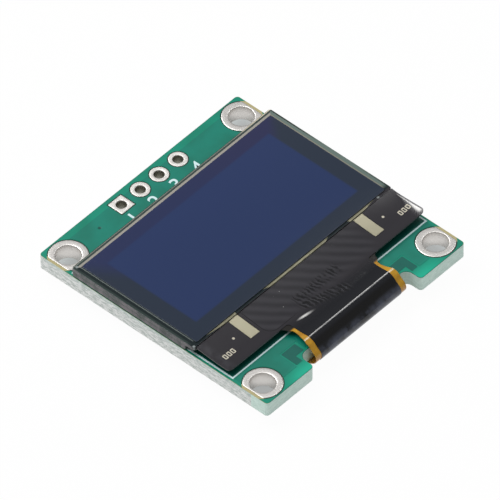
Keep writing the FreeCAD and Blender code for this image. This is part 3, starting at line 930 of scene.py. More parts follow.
@dataclass(frozen=True)
class Polarizer(Finish):
    """The dark film on the glass: the blue pixel field shows inside a violet and slate border.

    Attributes:
        film: The film's box.
        pixels: The pixel field's box.
        violet_x: X where the border at the head starts to turn from navy to purple, and where it ends.
        slate_depth: Distance from the head where the violet is gone, and where it is still full.
        field_edge: How softly the pixel field ends.
    """

    film: Box
    pixels: Box
    name: str = "polarizer_film"
    field_tone: Tint = tint(44, 59, 99)
    purple: Tint = tint(48, 51, 84)
    navy: Tint = tint(45, 53, 88)
    slate: Tint = tint(46, 55, 70)
    side_tone: Tint = tint(70, 80, 84)
    violet_x: Pair = (-2.0, 11.0)
    slate_depth: Pair = (6.0, 3.0)
    field_edge: float = 0.16

    def shade(self, graph: Graph) -> None:
        """Draw the pixel field with a soft edge, over a border that is violet at the head and slate below,
        and paint light on the film's cut edge.

        The border's violet share falls along a diagonal from each upper corner of the film: it is the
        distance to the side less the distance to the head.

        Args:
            graph: The material's nodes.
        """
        spot = graph.spot()
        film, pixels = self.film, self.pixels
        drift = graph.noise(spot, 0.25, 2)
        from_head = film.head - spot.y + (drift - 0.5) * 1.2
        right_share = (film.right - spot.x - from_head).rise(-1.2, 0.8)
        left_share = (spot.x - film.left - from_head * 0.6).rise(-1.6, 1.2)
        violet = graph.mix(spot.x.rise(*self.violet_x), self.navy, self.purple)
        lit = spot.within(pixels.left, pixels.right, pixels.foot, pixels.head, self.field_edge)
        colour = graph.lay(
            self.slate,
            (right_share * left_share * from_head.rise(*self.slate_depth), violet),
            (lit * 0.95, self.field_tone),
            # painted highlight where light catches the film's cut edge
            (spot.z.rise(film.face - 0.01, film.face - 0.03), self.side_tone),
        )
        dust = graph.noise(spot, 22.0, 2)
        graph.surface(Base_Color=colour, Roughness=dust.rise(0.2, 0.9) * 0.08 + 0.1, Specular_IOR_Level=0.3,
                      Normal=graph.bump(drift * 0.002))


class Side(Enum):
    """A side of the display glass."""

    LEFT = "left"
    RIGHT = "right"
    FOOT = "foot"
    HEAD = "head"


@dataclass(frozen=True)
class Band:
    """A line that runs along one side of the glass margin.

    Attributes:
        side: The side.
        start: Where it begins, in millimetres in from the glass edge.
        end: Where it ends.
        tone: Its colour.
    """

    side: Side
    start: float
    end: float
    tone: Tint


@dataclass(frozen=True)
class Sliver:
    """Cream adhesive that shows through the glass at its foot.

    Attributes:
        left: X where it starts.
        right: X where it ends.
        left_taper: Length over which it swells from its left end.
        right_taper: Length over which it thins out to its right end.
    """

    left: float
    right: float
    left_taper: float
    right_taper: float


@dataclass(frozen=True)
class PanelGlass(Finish):
    """Display glass over the dark cell: bands of seal and ground edge run round its margin, with painted
    highlights among them.

    Attributes:
        glass: The glass plate's box.
        film: The box of the dark film on it.
        depth: How far the cream slivers reach down at most.
        worn_width: Width of the right rim, which is paler.
        worn_y: Lower and upper end of the paler stretch, and how softly it ends.
        lit_line: Where the pale line along the head begins and ends, in from the edge, and its soft edge.
        lit_x: X where that line starts to show, and where it is full.
        tail_width: Width of the dark strip over the foot's right end.
        tail_x: X where that strip starts to show, and where it is full.
        tail_line: Width of the dark line along the rest of the foot.
        tail_left: X where that line begins.
        glint_reach: Radius of a glint, and of its full middle.
        bands: The lines round the margin, some of them painted highlights along the edges.
        slivers: The slivers of cream adhesive.
    """

    glass: Box
    film: Box
    name: str = "panel_glass"
    dark: Tint = tint(30, 40, 42)
    film_tone: Tint = tint(54, 52, 56)
    cream: Tint = tint(164, 161, 136)
    cream_deep: Tint = tint(142, 139, 116)
    glint: Tint = tint(150, 158, 158)
    rim_tone: Tint = tint(112, 128, 121)
    lit_tone: Tint = tint(214, 204, 182)
    depth: float = 0.36
    worn_width: float = 0.17
    worn_y: tuple[float, float, float] = (-2.5, 5.0, 2.5)
    lit_line: tuple[float, float, float] = (0.04, 0.13, 0.03)
    lit_x: Pair = (8.5, 10.5)
    tail_width: float = 0.3
    tail_x: Pair = (9.4, 10.4)
    tail_line: float = 0.02
    tail_left: float = -12.6
    glint_reach: Pair = (0.2, 0.06)
    bands: tuple[Band, ...] = (
        Band(Side.LEFT, 0.0, 0.07, tint(70, 82, 80)),
        Band(Side.LEFT, 0.07, 0.26, tint(50, 62, 60)),
        # painted highlight: the dark film's cut edge catching light
        Band(Side.LEFT, 0.55, 0.66, tint(112, 120, 118)),
        Band(Side.RIGHT, 0.0, 0.17, tint(52, 64, 58)),
        Band(Side.RIGHT, 0.17, 0.45, tint(108, 124, 118)),
        Band(Side.RIGHT, 0.45, 0.59, tint(138, 138, 126)),
        Band(Side.HEAD, 0.0, 0.06, tint(52, 58, 50)),
        Band(Side.HEAD, 0.07, 0.14, tint(136, 142, 133)),
        Band(Side.HEAD, 0.14, 0.33, tint(62, 74, 72)),
        # painted highlight: the bright band along the glass's head edge
        Band(Side.HEAD, 0.34, 0.58, tint(164, 160, 151)),
        Band(Side.HEAD, 0.6, 0.66, tint(62, 50, 48)),
    )
    slivers: tuple[Sliver, ...] = (
        Sliver(-11.7, -7.6, 3.2, 0.1),
        Sliver(-3.9, 5.0, 1.2, 1.0),
        Sliver(7.5, 11.3, 0.3, 2.6),
    )

    def margin(self, graph: Graph, spot: Spot) -> Socket:
        """Lay each band along its own side, where that side is the nearest one, and fade it near the foot.

        Over the bands come the paler right rim, the pale line along the head, and the dark line and strip
        along the foot.

        Args:
            graph: The material's nodes.
            spot: The place on the surface.

        Returns:
            The margin's colour.
        """
        away = {
            Side.LEFT: spot.x - self.glass.left,
            Side.RIGHT: self.glass.right - spot.x,
            Side.FOOT: spot.y - self.glass.foot,
            Side.HEAD: self.glass.head - spot.y,
        }
        colour = self.dark
        for band in self.bands:
            mine = away[band.side]
            others = [amount for side, amount in away.items() if side is not band.side]
            nearest = mine.under(others[0].least(others[1]).least(others[2]) + 0.01)
            kept = away[Side.FOOT].rise(0.3, 1.0) * nearest
            colour = graph.mix(mine.between(band.start, band.end, 0.015) * kept, colour, band.tone)
        paler_edge = away[Side.RIGHT].under(self.worn_width) * spot.y.between(*self.worn_y)
        lit = away[Side.HEAD].between(*self.lit_line) * spot.x.rise(*self.lit_x)
        tail = away[Side.FOOT].under(self.tail_width) * spot.x.rise(*self.tail_x)
        tail = tail.most(away[Side.FOOT].under(self.tail_line) * spot.x.over(self.tail_left))
        return graph.lay(colour, (paler_edge * 0.9, self.rim_tone), (lit, self.lit_tone), (tail, self.film_tone))

    def shade(self, graph: Graph) -> None:
        """Lay the slivers, measured down from the film's foot and over the glass edge, and three glints.

        Args:
            graph: The material's nodes.
        """
        spot = graph.spot()
        drift = graph.noise(spot, 1.2, 3)
        glass, foot = self.glass, self.film.foot
        colour = self.margin(graph, spot)
        down = (foot - spot.y) + (glass.face - spot.z) * 0.75 + (drift - 0.5) * 0.08
        cream = graph.mix(drift.rise(0.4, 0.62), self.cream, self.cream_deep)
        for sliver in self.slivers:
            swell = spot.x.rise(sliver.left, sliver.left + sliver.left_taper)
            swell = swell * spot.x.rise(sliver.right, sliver.right - sliver.right_taper)
            reach = (swell * self.depth + 0.04 - down).rise(-0.02, 0.02) * down.rise(0.0, 0.04)
            colour = graph.mix(reach * swell.over(0.02), colour, cream)
        glints = (
            (glass.left + 0.16, glass.foot + 0.14),
            (glass.right - 1.75, foot - 0.1),
            (glass.left + 0.4, glass.head - 0.3),
        )
        for glint in glints:
            colour = graph.mix(spot.round_about(glint).rise(*self.glint_reach), colour, self.glint)
        rough = drift.rise(0.4, 0.8) * 0.08 + 0.06
        graph.surface(Base_Color=colour, Roughness=rough, Specular_IOR_Level=0.35)


@dataclass(frozen=True)
class GroundGlass(Finish):
    """The cut edge of a glass plate: frosted, grey and finely chipped."""

    name: str = "ground_glass"
    pale: Tint = tint(122, 117, 121)
    dark: Tint = tint(70, 76, 76)
    chip_tone: Tint = tint(150, 150, 148)

    def shade(self, graph: Graph) -> None:
        """Streak the edge across the cut, and chip it in small flakes.

        Args:
            graph: The material's nodes.
        """
        spot = graph.spot()
        streak = graph.noise(spot, 1.1, 4, 0.6, (1, 1, 0.4))
        chips = graph.cells(spot, 3.5)
        colour = graph.lay(
            self.dark,
            (streak.rise(0.35, 0.66), self.pale),
            (chips.rise(0.2, 0.05) * 0.35, self.chip_tone),
        )
        height = streak * 0.02 + chips * 0.006
        graph.surface(Base_Color=colour, Roughness=streak * 0.3 + 0.3, Normal=graph.bump(height),
                      Specular_IOR_Level=0.35)


@dataclass(frozen=True)
class CoverFilm(Finish):
    """Black cover film: glossy, with tracks that show through it, wrinkles, a crease line of whitened film
    and painted highlight, and painted light and shade on its curl and fold.

    Attributes:
        film: The box of the film below it.
        neck_y: Where the neck's dark tone ends, and where the wing's tone is full.
        belly_z: Lowest and highest Z of the painted reflection on the fold's belly, and how softly it ends.
        sharp_x: X where the tracked field's outline turns from soft to sharp, and where it is sharp.
        track_corner: Radius of the tracked field's lower corners.
        track_turn: Angle of the faint tracks in degrees.
        upper_strokes: Left, right, foot and head of the upper row of short strokes.
        lower_strokes: The same of the lower row, which slants.
        row_anchor: X where the lower row keeps its height.
        row_slant: How much it falls for each millimetre in X.
        lip_head: Y of the upper end of the painted highlight along the wing's curled right edge.
        lip_width: How much wider that highlight is at its foot than at its head.
        rim_width: Width of the dark rim outside it.
        streak_middle: Middle of the painted highlight where the film bends over the die's left end.
        streak_shape: How many times longer than wide that highlight is, and its angle in degrees.
        streak_reach: Half its width, and half the width of its full middle.
        streak_x: X where its right end starts to show, and where it is full.
        crease_reach: Half the width of the crease's bright line, painted highlight and whitened film, and of
            its full middle.
    """

    film: Box
    name: str = "cover_film"
    wing_tone: Tint = tint(45, 43, 48)
    neck_tone: Tint = tint(16, 18, 25)
    fold_tone: Tint = tint(5, 5, 6)
    belly_tone: Tint = tint(82, 87, 102)
    track_tone: Tint = tint(56, 55, 60)
    gap_tone: Tint = tint(42, 41, 46)
    scribble_tone: Tint = tint(13, 13, 17)
    worn_tone: Tint = tint(68, 68, 73)
    bright: Tint = tint(250, 249, 246)
    rim_tone: Tint = tint(72, 70, 76)
    neck_y: Pair = (-10.3, -8.5)
    belly_z: tuple[float, float, float] = (1.6, 2.7, 0.25)
    sharp_x: Pair = (-3.0, -5.0)
    track_left: float = -7.2
    track_right: float = 7.6
    track_foot: float = -8.75
    track_corner: float = 1.0
    track_turn: float = 47.8
    track_pitch: float = 1.04
    upper_strokes: Area = (-2.8, 3.0, -8.2, -7.2)
    lower_strokes: Area = (-2.8, 2.0, -9.25, -8.35)
    row_anchor: float = -1.95
    row_slant: float = 0.28
    stroke_pitch: float = 0.42
    lip_head: float = -5.8
    lip_width: float = 0.42
    rim_width: float = 0.14
    streak_middle: Pair = (-3.25, -9.53)
    streak_shape: Pair = (6.8, -7.0)
    streak_reach: Pair = (0.2, 0.02)
    streak_x: Pair = (-1.9, -4.1)
    crease_reach: Pair = (0.055, 0.015)

    def tracks(self, graph: Graph, spot: Spot) -> tuple[Amount, Amount]:
        """Work out the tracked field's rounded outline, and the soft slanting stripes in it.

        The outline is a rectangle with round lower corners: beyond the corners' centres the distance is the
        root of the sum of two squares, less the corner's radius.

        Args:
            graph: The material's nodes.
            spot: The place on the surface.

        Returns:
            The distance out of the outline, and the stripes.
        """
        angle = math.radians(self.track_turn)
        across = spot.x * math.sin(angle) + spot.y * math.cos(angle)
        wander = graph.noise(spot, 0.5, 2)
        stripe = (across + wander * 0.3).wave(self.track_pitch)
        middle = (self.track_left + self.track_right) / 2
        half = (self.track_right - self.track_left) / 2 - self.track_corner
        beside = ((spot.x - middle).size() - half).most(0.0)
        below = (self.track_foot + self.track_corner - spot.y).most(0.0)
        out = (beside * beside + below * below).root() - self.track_corner
        return out, stripe

    def strokes(self, graph: Graph, spot: Spot) -> tuple[Amount, Amount]:
        """Work out two rows of short wandering strokes across the die.

        Args:
            graph: The material's nodes.
            spot: The place on the surface.

        Returns:
            How strongly the rows show, and the strokes.
        """
        fade = graph.noise(spot, 1.1, 2).rise(0.26, 0.48)
        upper = spot.within(*self.upper_strokes, 0.4) * 0.9
        left, right, foot, head = self.lower_strokes
        slanted = spot.y + (spot.x - self.row_anchor) * self.row_slant
        lower = slanted.between(foot, head, 0.3) * spot.x.between(left, right, 0.4) * 1.4
        wander = graph.noise(spot, 1.3, 2) * 0.8
        return upper.most(lower) * fade, (spot.x + spot.y * 0.12 + wander).wave(self.stroke_pitch)

    def lip(self, spot: Spot) -> tuple[Amount, Amount]:
        """Work out the painted highlight on the curled right edge of the wing.

        The band inside the rim widens with the cube of the way down the wing.

        Args:
            spot: The place on the surface.

        Returns:
            The bright band of painted highlight, and the dark rim outside it.
        """
        from_edge = self.film.right - spot.x
        down = spot.y.rise(self.lip_head + 0.3, WING_FOOT + 0.4)
        width = down * down * down * self.lip_width + 0.09
        on_wing = spot.y.between(WING_FOOT + 0.3, self.lip_head, 0.2)
        band = from_edge.rise(self.rim_width - 0.03, self.rim_width + 0.02)
        band = band * ((from_edge - self.rim_width) / width).rise(1.0, 0.2)
        rim = from_edge.rise(self.rim_width, self.rim_width - 0.04)
        return band * on_wing * (down * 0.5 + 0.5), rim * spot.y.over(WING_FOOT)

    def shade(self, graph: Graph) -> None:
        """Darken the film from the wing to the neck, paint shade on the fold and a reflection on its belly,
        and lay the tracks, wrinkles, dust and painted highlights on it.

        Args:
            graph: The material's nodes.
        """
        spot = graph.spot()
        grain = graph.noise(spot, 16.0, 3)
        cloud = graph.noise(spot, 0.8, 3)
        front = spot.z.over(FRONT)
        above = spot.z.over(self.film.face - 0.06)
        out, stripe = self.tracks(graph, spot)
        sharp = spot.x.rise(*self.sharp_x)
        tracked = (out.rise(0.02, -0.1) * sharp + out.rise(0.5, -0.9) * (1.0 - sharp)) * front
        outlined = out.between(-0.02, 0.05, 0.02) * sharp * front
        # painted highlight: a soft pale band along the wing's left edge
        paler_edge = spot.x.between(self.film.left + 0.15, self.film.left + 0.9, 0.3) * spot.y.over(WING_FOOT)
        patch, stroke = self.strokes(graph, spot)
        patch = patch * front
        belly = spot.z.between(*self.belly_z) * cloud.rise(0.25, 0.6)
        # painted highlight where the film bends over the die's left end
        streak = spot.round_about(self.streak_middle, *self.streak_shape).rise(*self.streak_reach)
        streak = streak * spot.x.rise(*self.streak_x)
        # the crease's bright line: painted highlight, and whitened film
        line = (spot.y - CREASE).size().rise(*self.crease_reach) * (cloud.rise(0.3, 0.5) * 0.45 + 0.55)
        dust = graph.cells(spot, 0.9).rise(0.045, 0.02) * graph.noise(spot, 0.7, 2).rise(0.54, 0.56)
        # painted highlight on the curled right edge, with its dark rim
        band, rim = self.lip(spot)
        colour = graph.lay(
            self.neck_tone,
            (spot.y.rise(*self.neck_y), self.wing_tone),
            (tracked, graph.mix(stripe, self.gap_tone, self.track_tone)),
            (outlined * 0.8, self.scribble_tone),
            (paler_edge * front * cloud.rise(0.3, 0.6) * 0.6, self.worn_tone),
            (patch * 0.3, self.scribble_tone),
            (patch * stroke.rise(0.45, 0.75), self.scribble_tone),
            # the strokes are paler between their dark marks
            (patch * stroke.rise(0.3, 0.12) * 0.4, self.worn_tone),
            # painted shade on the fold, and below it a painted reflection of the floor on its belly
            (spot.y.rise(CREASE - 0.3, CREASE - 0.7), self.fold_tone),
            (belly * 0.9, self.belly_tone),
            (above * streak.most(line * 0.6), self.bright),
            (above * dust * 0.5, self.bright),
            (above * rim * 0.5, self.rim_tone),
            (above * band, self.bright),
        )
        height = grain * 0.0008 + stripe * tracked * 0.001 - patch * stroke * 0.008
        graph.surface(Base_Color=colour, Roughness=grain * 0.08 + 0.16, Normal=graph.bump(height),
                      Specular_IOR_Level=0.5)


@dataclass(frozen=True)
class AmberFilm(Finish):
    """Amber polyimide: glossy, with painted shade where it is laid double round the fold and under the wing's
    cover, and a painted highlight along the crease.

    Attributes:
        inner_z: Z where the film starts to darken round the fold as painted shade, and where it is darkest.
        mask_foot: Y above which the film is painted dark as shade under the wing's cover.
        mask_side: Distance from the middle in X past which it is painted dark as shade too.
        crest_z: Z above which the film is at its crease.
        crease_reach: Half the width of the crease's pale line, painted highlight and whitened film, and of
            its full middle.
    """

    name: str = "amber_film"
    tone: Tint = tint(206, 156, 34)
    deep: Tint = tint(172, 118, 8)
    inner: Tint = tint(196, 124, 26)
    masked: Tint = tint(14, 10, 5)
    cream: Tint = tint(226, 206, 168)
    inner_z: Pair = (2.6, 1.6)
    mask_foot: float = -9.75
    mask_side: float = 6.7
    crest_z: float = 3.2
    crease_reach: Pair = (0.14, 0.04)

    def shade(self, graph: Graph) -> None:
        """Let the amber deepen in soft clouds, paint it dark as shade round the lower fold and under the
        wing's cover, and paint a pale highlight along the crease.

        Args:
            graph: The material's nodes.
        """
        spot = graph.spot()
        cloud = graph.noise(spot, 0.9, 3)
        # painted shade where the film runs under the wing's cover
        in_cover_shade = spot.y.rise(self.mask_foot - 0.15, self.mask_foot + 0.1)
        in_cover_shade = in_cover_shade.most(spot.x.size().over(self.mask_side)) * spot.z.over(FRONT)
        # the crease's pale line: painted highlight, and whitened film
        line = (spot.y - CREASE).size().rise(*self.crease_reach) * spot.z.over(self.crest_z)
        colour = graph.lay(
            self.tone,
            (cloud.rise(0.35, 0.7), self.deep),
            # painted shade round the lower fold
            (spot.z.rise(*self.inner_z) * 0.8, self.inner),
            (in_cover_shade, self.masked),
            (line * 0.8, self.cream),
        )
        graph.surface(Base_Color=colour, Roughness=cloud * 0.15 + 0.2, Normal=graph.bump(cloud * 0.01),
                      Specular_IOR_Level=0.5, Coat_Weight=0.3, Coat_Roughness=0.1)


@dataclass(frozen=True)
class Matt(Finish):
    """A dull moulded, fired or foamed surface with a fine grain.

    Attributes:
        rough: Its mean roughness.
        scale: Grains for each millimetre.
        height: Height of the grain in millimetres.
    """

    name: str
    tone: Tint
    dark: Tint
    rough: float
    scale: float
    height: float

    def shade(self, graph: Graph) -> None:
        """Speckle the colour and roughen the surface at the same grain.

        Args:
            graph: The material's nodes.
        """
        grain = graph.noise(graph.spot(), self.scale, 4)
        colour = graph.mix(grain.rise(0.36, 0.66), self.dark, self.tone)
        graph.surface(Base_Color=colour, Roughness=grain * 0.2 + (self.rough - 0.1),
                      Normal=graph.bump(grain * self.height))


LAMINATE = Laminate(Box.of("printed_board"))
MASK = SolderMask()
COPPER_MASK = SolderMask("mask_over_copper", tint(0, 130, 111), tint(0, 119, 100), gloss=0.34)
SHADED_MASK = SolderMask("mask_over_two_coppers", tint(0, 100, 88), tint(0, 90, 80), gloss=0.34)
INK = Ink()
BEIGE_INK = Ink("beige_ink", tint(206, 200, 182), tint(170, 160, 142))
TIN = Metal("tinned_copper", tint(238, 235, 230), tint(218, 214, 210), rough=0.52, metallic=0.8, dents=0.001,
            grain=3.0, barrel=(1.2, 2.72), barrel_tone=tint(236, 240, 234), barrel_metallic=0.15)
# the pin holes keep the darker default barrel tone as painted shade
PIN_TIN = Metal("tinned_pin_hole", tint(238, 235, 230), tint(218, 214, 210), rough=0.5, metallic=0.8,
                dents=0.001, grain=3.0, barrel=(1.2, 2.68))
SOLDER = Metal("solder", tint(205, 205, 205), tint(170, 172, 175), rough=0.24, metallic=1.0, dents=0.01,
               grain=3.0)
CHIP_END = Metal("chip_end", tint(214, 212, 208), tint(180, 179, 177), rough=0.36)
LEG = Metal("tinned_leg", tint(208, 208, 206), tint(172, 172, 172), rough=0.3)
PATCH = Metal("tinned_patch", tint(247, 238, 208), tint(238, 229, 198), rough=0.6, metallic=0.0,
              dents=0.004, grain=12.0)
DIE = Metal("silicon", tint(58, 60, 72), tint(44, 46, 56), rough=0.14, metallic=0.5, dents=0.0005)
FILM_BOX = replace(Box.of("polarizer"), foot=Box.of("polarizer").foot - 0.1)
POLARIZER = Polarizer(FILM_BOX, Box.of("active_layer"))
PANEL_GLASS = PanelGlass(Box.of("front_glass"), FILM_BOX)
GROUND_GLASS = GroundGlass()
COVER_FILM = CoverFilm(Box.of("tail_film"))
AMBER_FILM = AmberFilm()
FOAM = Matt("foam_tape", tint(202, 204, 200), tint(160, 164, 160), 0.85, 7.0, 0.02)
SEAL = Matt("seal_adhesive", tint(120, 134, 126), tint(92, 108, 102), 0.5, 2.0, 0.004)
PIXELS = Matt("pixel_stack", tint(40, 54, 92), tint(34, 46, 80), 0.3, 1.0, 0.001)
SEALED_BACK = Matt("sealed_back", tint(52, 58, 58), tint(36, 42, 42), 0.35, 1.5, 0.002)
MOULDING = Matt("moulding", tint(46, 46, 47), tint(30, 30, 31), 0.62, 14.0, 0.008)
RESISTOR = Matt("resistor_glaze", tint(40, 40, 42), tint(26, 26, 28), 0.4, 6.0, 0.003)
CAPACITOR = Matt("capacitor_ceramic", tint(164, 130, 92), tint(138, 106, 72), 0.55, 7.0, 0.006)


# Pieces


def new_object(name: str, data: bpy.types.ID) -> bpy.types.Object:
    """Put some data into the scene as an object.

    Args:
        name: The object's name.
        data: Its mesh, curve, camera or light.

    Returns:
        The object.
    """
    added = bpy.data.objects.new(name, data)
    bpy.context.scene.collection.objects.link(added)
    return added


def add_piece(name: str, mesh: Mesh, finish: Finish, replaces: Sequence[str] = (),
              crease: float = 35.0) -> bpy.types.Object:
    """Put a mesh into the scene as one piece of the module.

    Args:
        name: The piece's name.
        mesh: Its shape in millimetres.
        finish: Its finish.
        replaces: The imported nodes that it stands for.
        crease: The angle in degrees above which an edge stays sharp.

    Returns:
        The piece's object.
    """
    data = bpy.data.meshes.new(name)
    data.from_pydata((mesh.points * MM).tolist(), [], mesh.faces)
    data.validate()
    data.shade_smooth()
    data.set_sharp_from_angle(angle=math.radians(crease))
    data.materials.append(finish.material())
    piece = new_object(name, data)
    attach(piece, BODY)
    if replaces:
        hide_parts(*replaces)
    log.info("%s: %d faces", name, len(mesh.faces))
    return piece


def dress(node: str, finish: Finish, soften: float = 0.0) -> None:
    """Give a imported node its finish, and soften its edges where a radius is given.

    Args:
        node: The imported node's name.
        finish: Its finish.
        soften: Radius of its edges in millimetres.
    """
    piece = frame["nodes"][node]
    piece.data.materials.clear()
    piece.data.materials.append(finish.material())
    if soften:
        weld = piece.modifiers.new("joined_corners", "WELD")
        weld.merge_threshold = 1e-7
        bevel = piece.modifiers.new("soft_edges", "BEVEL")
        bevel.width = soften * MM
        bevel.segments = 2
        bevel.limit_method = "ANGLE"
        bevel.angle_limit = math.radians(40)
    log.info("%s: dressed", node)


@dataclass
class Hole:
    """A plated hole: its centre and its finished radius."""

    x: float
    y: float
    radius: float

    @classmethod
    def of(cls, mount: str) -> "Hole":
        """Read a hole from the record.

        Args:
            mount: The name of its mount.

        Returns:
            The hole.
        """
        for found in frame["record"]["mounts"]:
            if found["name"] == mount:
                x, y, _ = found["pos_m"]
                return cls(x / MM, y / MM, found["dims"]["r_mm"])
        raise KeyError(mount)


@dataclass
class CircuitBoard:
    """The green board: mask, copper under the mask, plated holes and print.

    Attributes:
        notch_left: X of the notch's left side.
        notch_right: X of its right side.
        notch_depth: Its depth from the board's lower edge.
        notch_corner: Radius of its inner corners.
        notch_mouth: Radius of its outer corners.
        board_corner: Radius of the board's corners.
        mask_thick: Thickness of the solder mask.
        copper_rise: How much copper lifts the mask above it.
        mask_edge: Mask short of the board's edge.
        mask_gap: Mask short of a land.
        mount_land: Radius of a mounting hole's land.
        pin_land: Radius of a round pin land.
        pin_one_half: Half the side of the square land.
        pin_one_corner: Radius of its mask opening's corners.
        plating: Thickness of the plating in a hole.
        copper: Height of a land.
        lip: Radius of the edge from a land into its hole.
        crown: Height of the low dome on a land.
        pour: Left, right, foot and head of the copper under the mask.
        left_strip: Left and right edge of the copper strip at the left of the notch.
        right_strip: The same of the strip at the right of the notch.
        strip_y: Foot and head of both strips.
        line: Width of a printed line.
        number_spread: How much wider than the pins the printed numbers are spaced.
        number_foot: Y of the numbers' foot.
        number_size: Their size.
    """

    notch_left: float = -7.05
    notch_right: float = 7.35
    notch_depth: float = 1.85
    notch_corner: float = 0.8
    notch_mouth: float = 0.4
    board_corner: float = 0.35
    mask_thick: float = 0.02
    copper_rise: float = 0.018
    mask_edge: float = 0.03
    mask_gap: float = 0.1
    mount_land: float = 1.85
    pin_land: float = 0.92
    pin_one_half: float = 0.87
    pin_one_corner: float = 0.08
    plating: float = 0.05
    copper: float = 0.04
    lip: float = 0.05
    crown: float = 0.014
    pour: Area = (-12.95, 12.95, -12.7, 13.1)
    left_strip: Pair = (-8.0, -6.2)
    right_strip: Pair = (6.5, 8.3)
    strip_y: Pair = (-12.6, -10.7)
    line: float = 0.19
    number_spread: float = 1.13
    number_foot: float = 9.78
    number_size: float = 2.0448

    def __post_init__(self) -> None:
        """Read the board and its holes from the frame."""
        self.box = Box.of("printed_board")
        self.mounts = [Hole.of(f"mount_hole_{i}") for i in range(1, 5)]
        self.pins = [Hole.of(f"pin_hole_{i}") for i in range(1, 5)]

    def outline(self, inset: float) -> Points:
        """Walk round the board and its notch, with every corner an arc.

        Args:
            inset: How far the outline is drawn in.

        Returns:
            The outline.
        """
        box, corner = self.box, self.board_corner - inset
        left, right, foot, head = box.left + inset, box.right - inset, box.foot + inset, box.head - inset
        top = box.foot + self.notch_depth + inset
        notch_left, notch_right = self.notch_left - inset, self.notch_right + inset
        round_out, round_in = self.notch_mouth - inset, self.notch_corner + inset
        return np.vstack([
            arc((left + corner, foot + corner), corner, 180, 270),
            arc((notch_left - round_out, foot + round_out), round_out, 270, 360),
            arc((notch_left + round_in, top - round_in), round_in, 180, 90),
            arc((notch_right - round_in, top - round_in), round_in, 90, 0),
            arc((notch_right + round_out, foot + round_out), round_out, 180, 270),
            arc((right - corner, foot + corner), corner, 270, 360),
            arc((right - corner, head - corner), corner, 0, 90),
            arc((left + corner, head - corner), corner, 90, 180),
        ])

    def openings(self, gap: float) -> list[Points]:
        """Draw the openings in the mask round all eight lands.

        Args:
            gap: How much wider than its land each opening is on every side.

        Returns:
            One loop for each land.
        """
        loops = [circle((hole.x, hole.y), self.mount_land + gap, 72) for hole in self.mounts]
        first, half = self.pins[0], self.pin_one_half + gap
        loops.append(rectangle(first.x - half, first.x + half, first.y - half, first.y + half,
                               self.pin_one_corner, 3))
        loops += [circle((hole.x, hole.y), self.pin_land + gap, 48) for hole in self.pins[1:]]
        return loops

    def build_front_mask(self) -> None:
        """Lay the mask, and on it the raised areas of copper that it covers, drawn in from the notch."""
        box = self.box
        top = box.face + self.mask_thick
        notch_top = box.foot + self.notch_depth
        mask = FlatShape([self.outline(self.mask_edge)], self.openings(self.mask_gap))
        add_piece("front_mask", plate(mask, level(box.face, self.mask_thick)), MASK)
        (left_out, left_in), (right_in, right_out) = self.left_strip, self.right_strip
        foot, head = self.strip_y
        low, gap, inner_gap = box.foot + 0.35, 0.12, 0.3
        cuts = self.openings(self.mask_gap + 0.04)
        cuts.append(rectangle(left_out - gap, left_in + inner_gap, low, head + gap))
        cuts.append(rectangle(right_in - inner_gap, right_out + gap, low, head + gap))
        cuts.append(rectangle(left_out - gap, right_out + gap, low, notch_top + 0.35))
        copper = FlatShape([rectangle(*self.pour, 0.3, 4)], cuts)
        place = level(top, self.copper_rise)
        add_piece("front_copper_mask", plate(copper, place), COPPER_MASK)
        strips = [rectangle(*side, foot, head, 0.08, 3) for side in (self.left_strip, self.right_strip)]
        notch = rectangle(self.notch_left - 0.2, self.notch_right + 0.2, box.foot - 0.15, notch_top + 0.2)
        beside = plate(FlatShape(strips, [notch]), place)
        add_piece("notch_copper_mask", beside, SHADED_MASK)

    def turned_land(self, hole: Hole, reach: Points, node: str, finish: Finish) -> None:
        """Turn a plated hole whose lands reach a different radius at each angle.

        Each row of the grid is one step of the section: a radius that is the hole's own plus an offset plus
        a share of the way to the land's edge, and a height. The land's top is a low dome.

        Args:
            hole: The hole.
            reach: The land's outer radius at each angle of the grid.
            node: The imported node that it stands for.
            finish: Its finish.
        """
        face, back, lip = self.box.face, self.box.back, self.lip
        top = face + self.copper
        section = [(lip * 0.3, 0.0, top - lip * 0.3), (lip, 0.0, top + 0.004)]
        for share in (0.25, 0.45, 0.65, 0.85, 0.96):
            section.append((0.0, share, top + self.crown * math.sin(math.pi * share) ** 0.7))
        section += [(0.0, 1.0, face + self.copper * 0.6), (0.0, 1.0, face), (self.plating, 0.0, face)]
        lower = [(offset, share, back + face - z) for offset, share, z in reversed(section)]
        section = [(0.0, 0.0, top - lip), *section, *lower, (0.0, 0.0, back - self.copper + lip)]
        offset, share, z = (np.array(column)[:, None] for column in zip(*section))
        angle = np.linspace(0, FULL_TURN, len(reach), endpoint=False)[None, :]
        radius = hole.radius + offset + share * (reach[None, :] - hole.radius)
        x, y = hole.x + radius * np.cos(angle), hole.y + radius * np.sin(angle)
        points = np.stack([x, y, np.broadcast_to(z, radius.shape)], axis=-1)
        name = node.replace("pad", "land")
        add_piece(name, grid_mesh(points, closed=True), finish, (node,), crease=50)

    @staticmethod
    def to_flat(slope: Points, side: float) -> Points:
        """Return how far out a side lies, its place over the cosine or sine, or 9 mm where it's behind."""
        faced = slope * side > 0
        return np.where(faced, side / np.where(faced, slope, 1), 9.0)

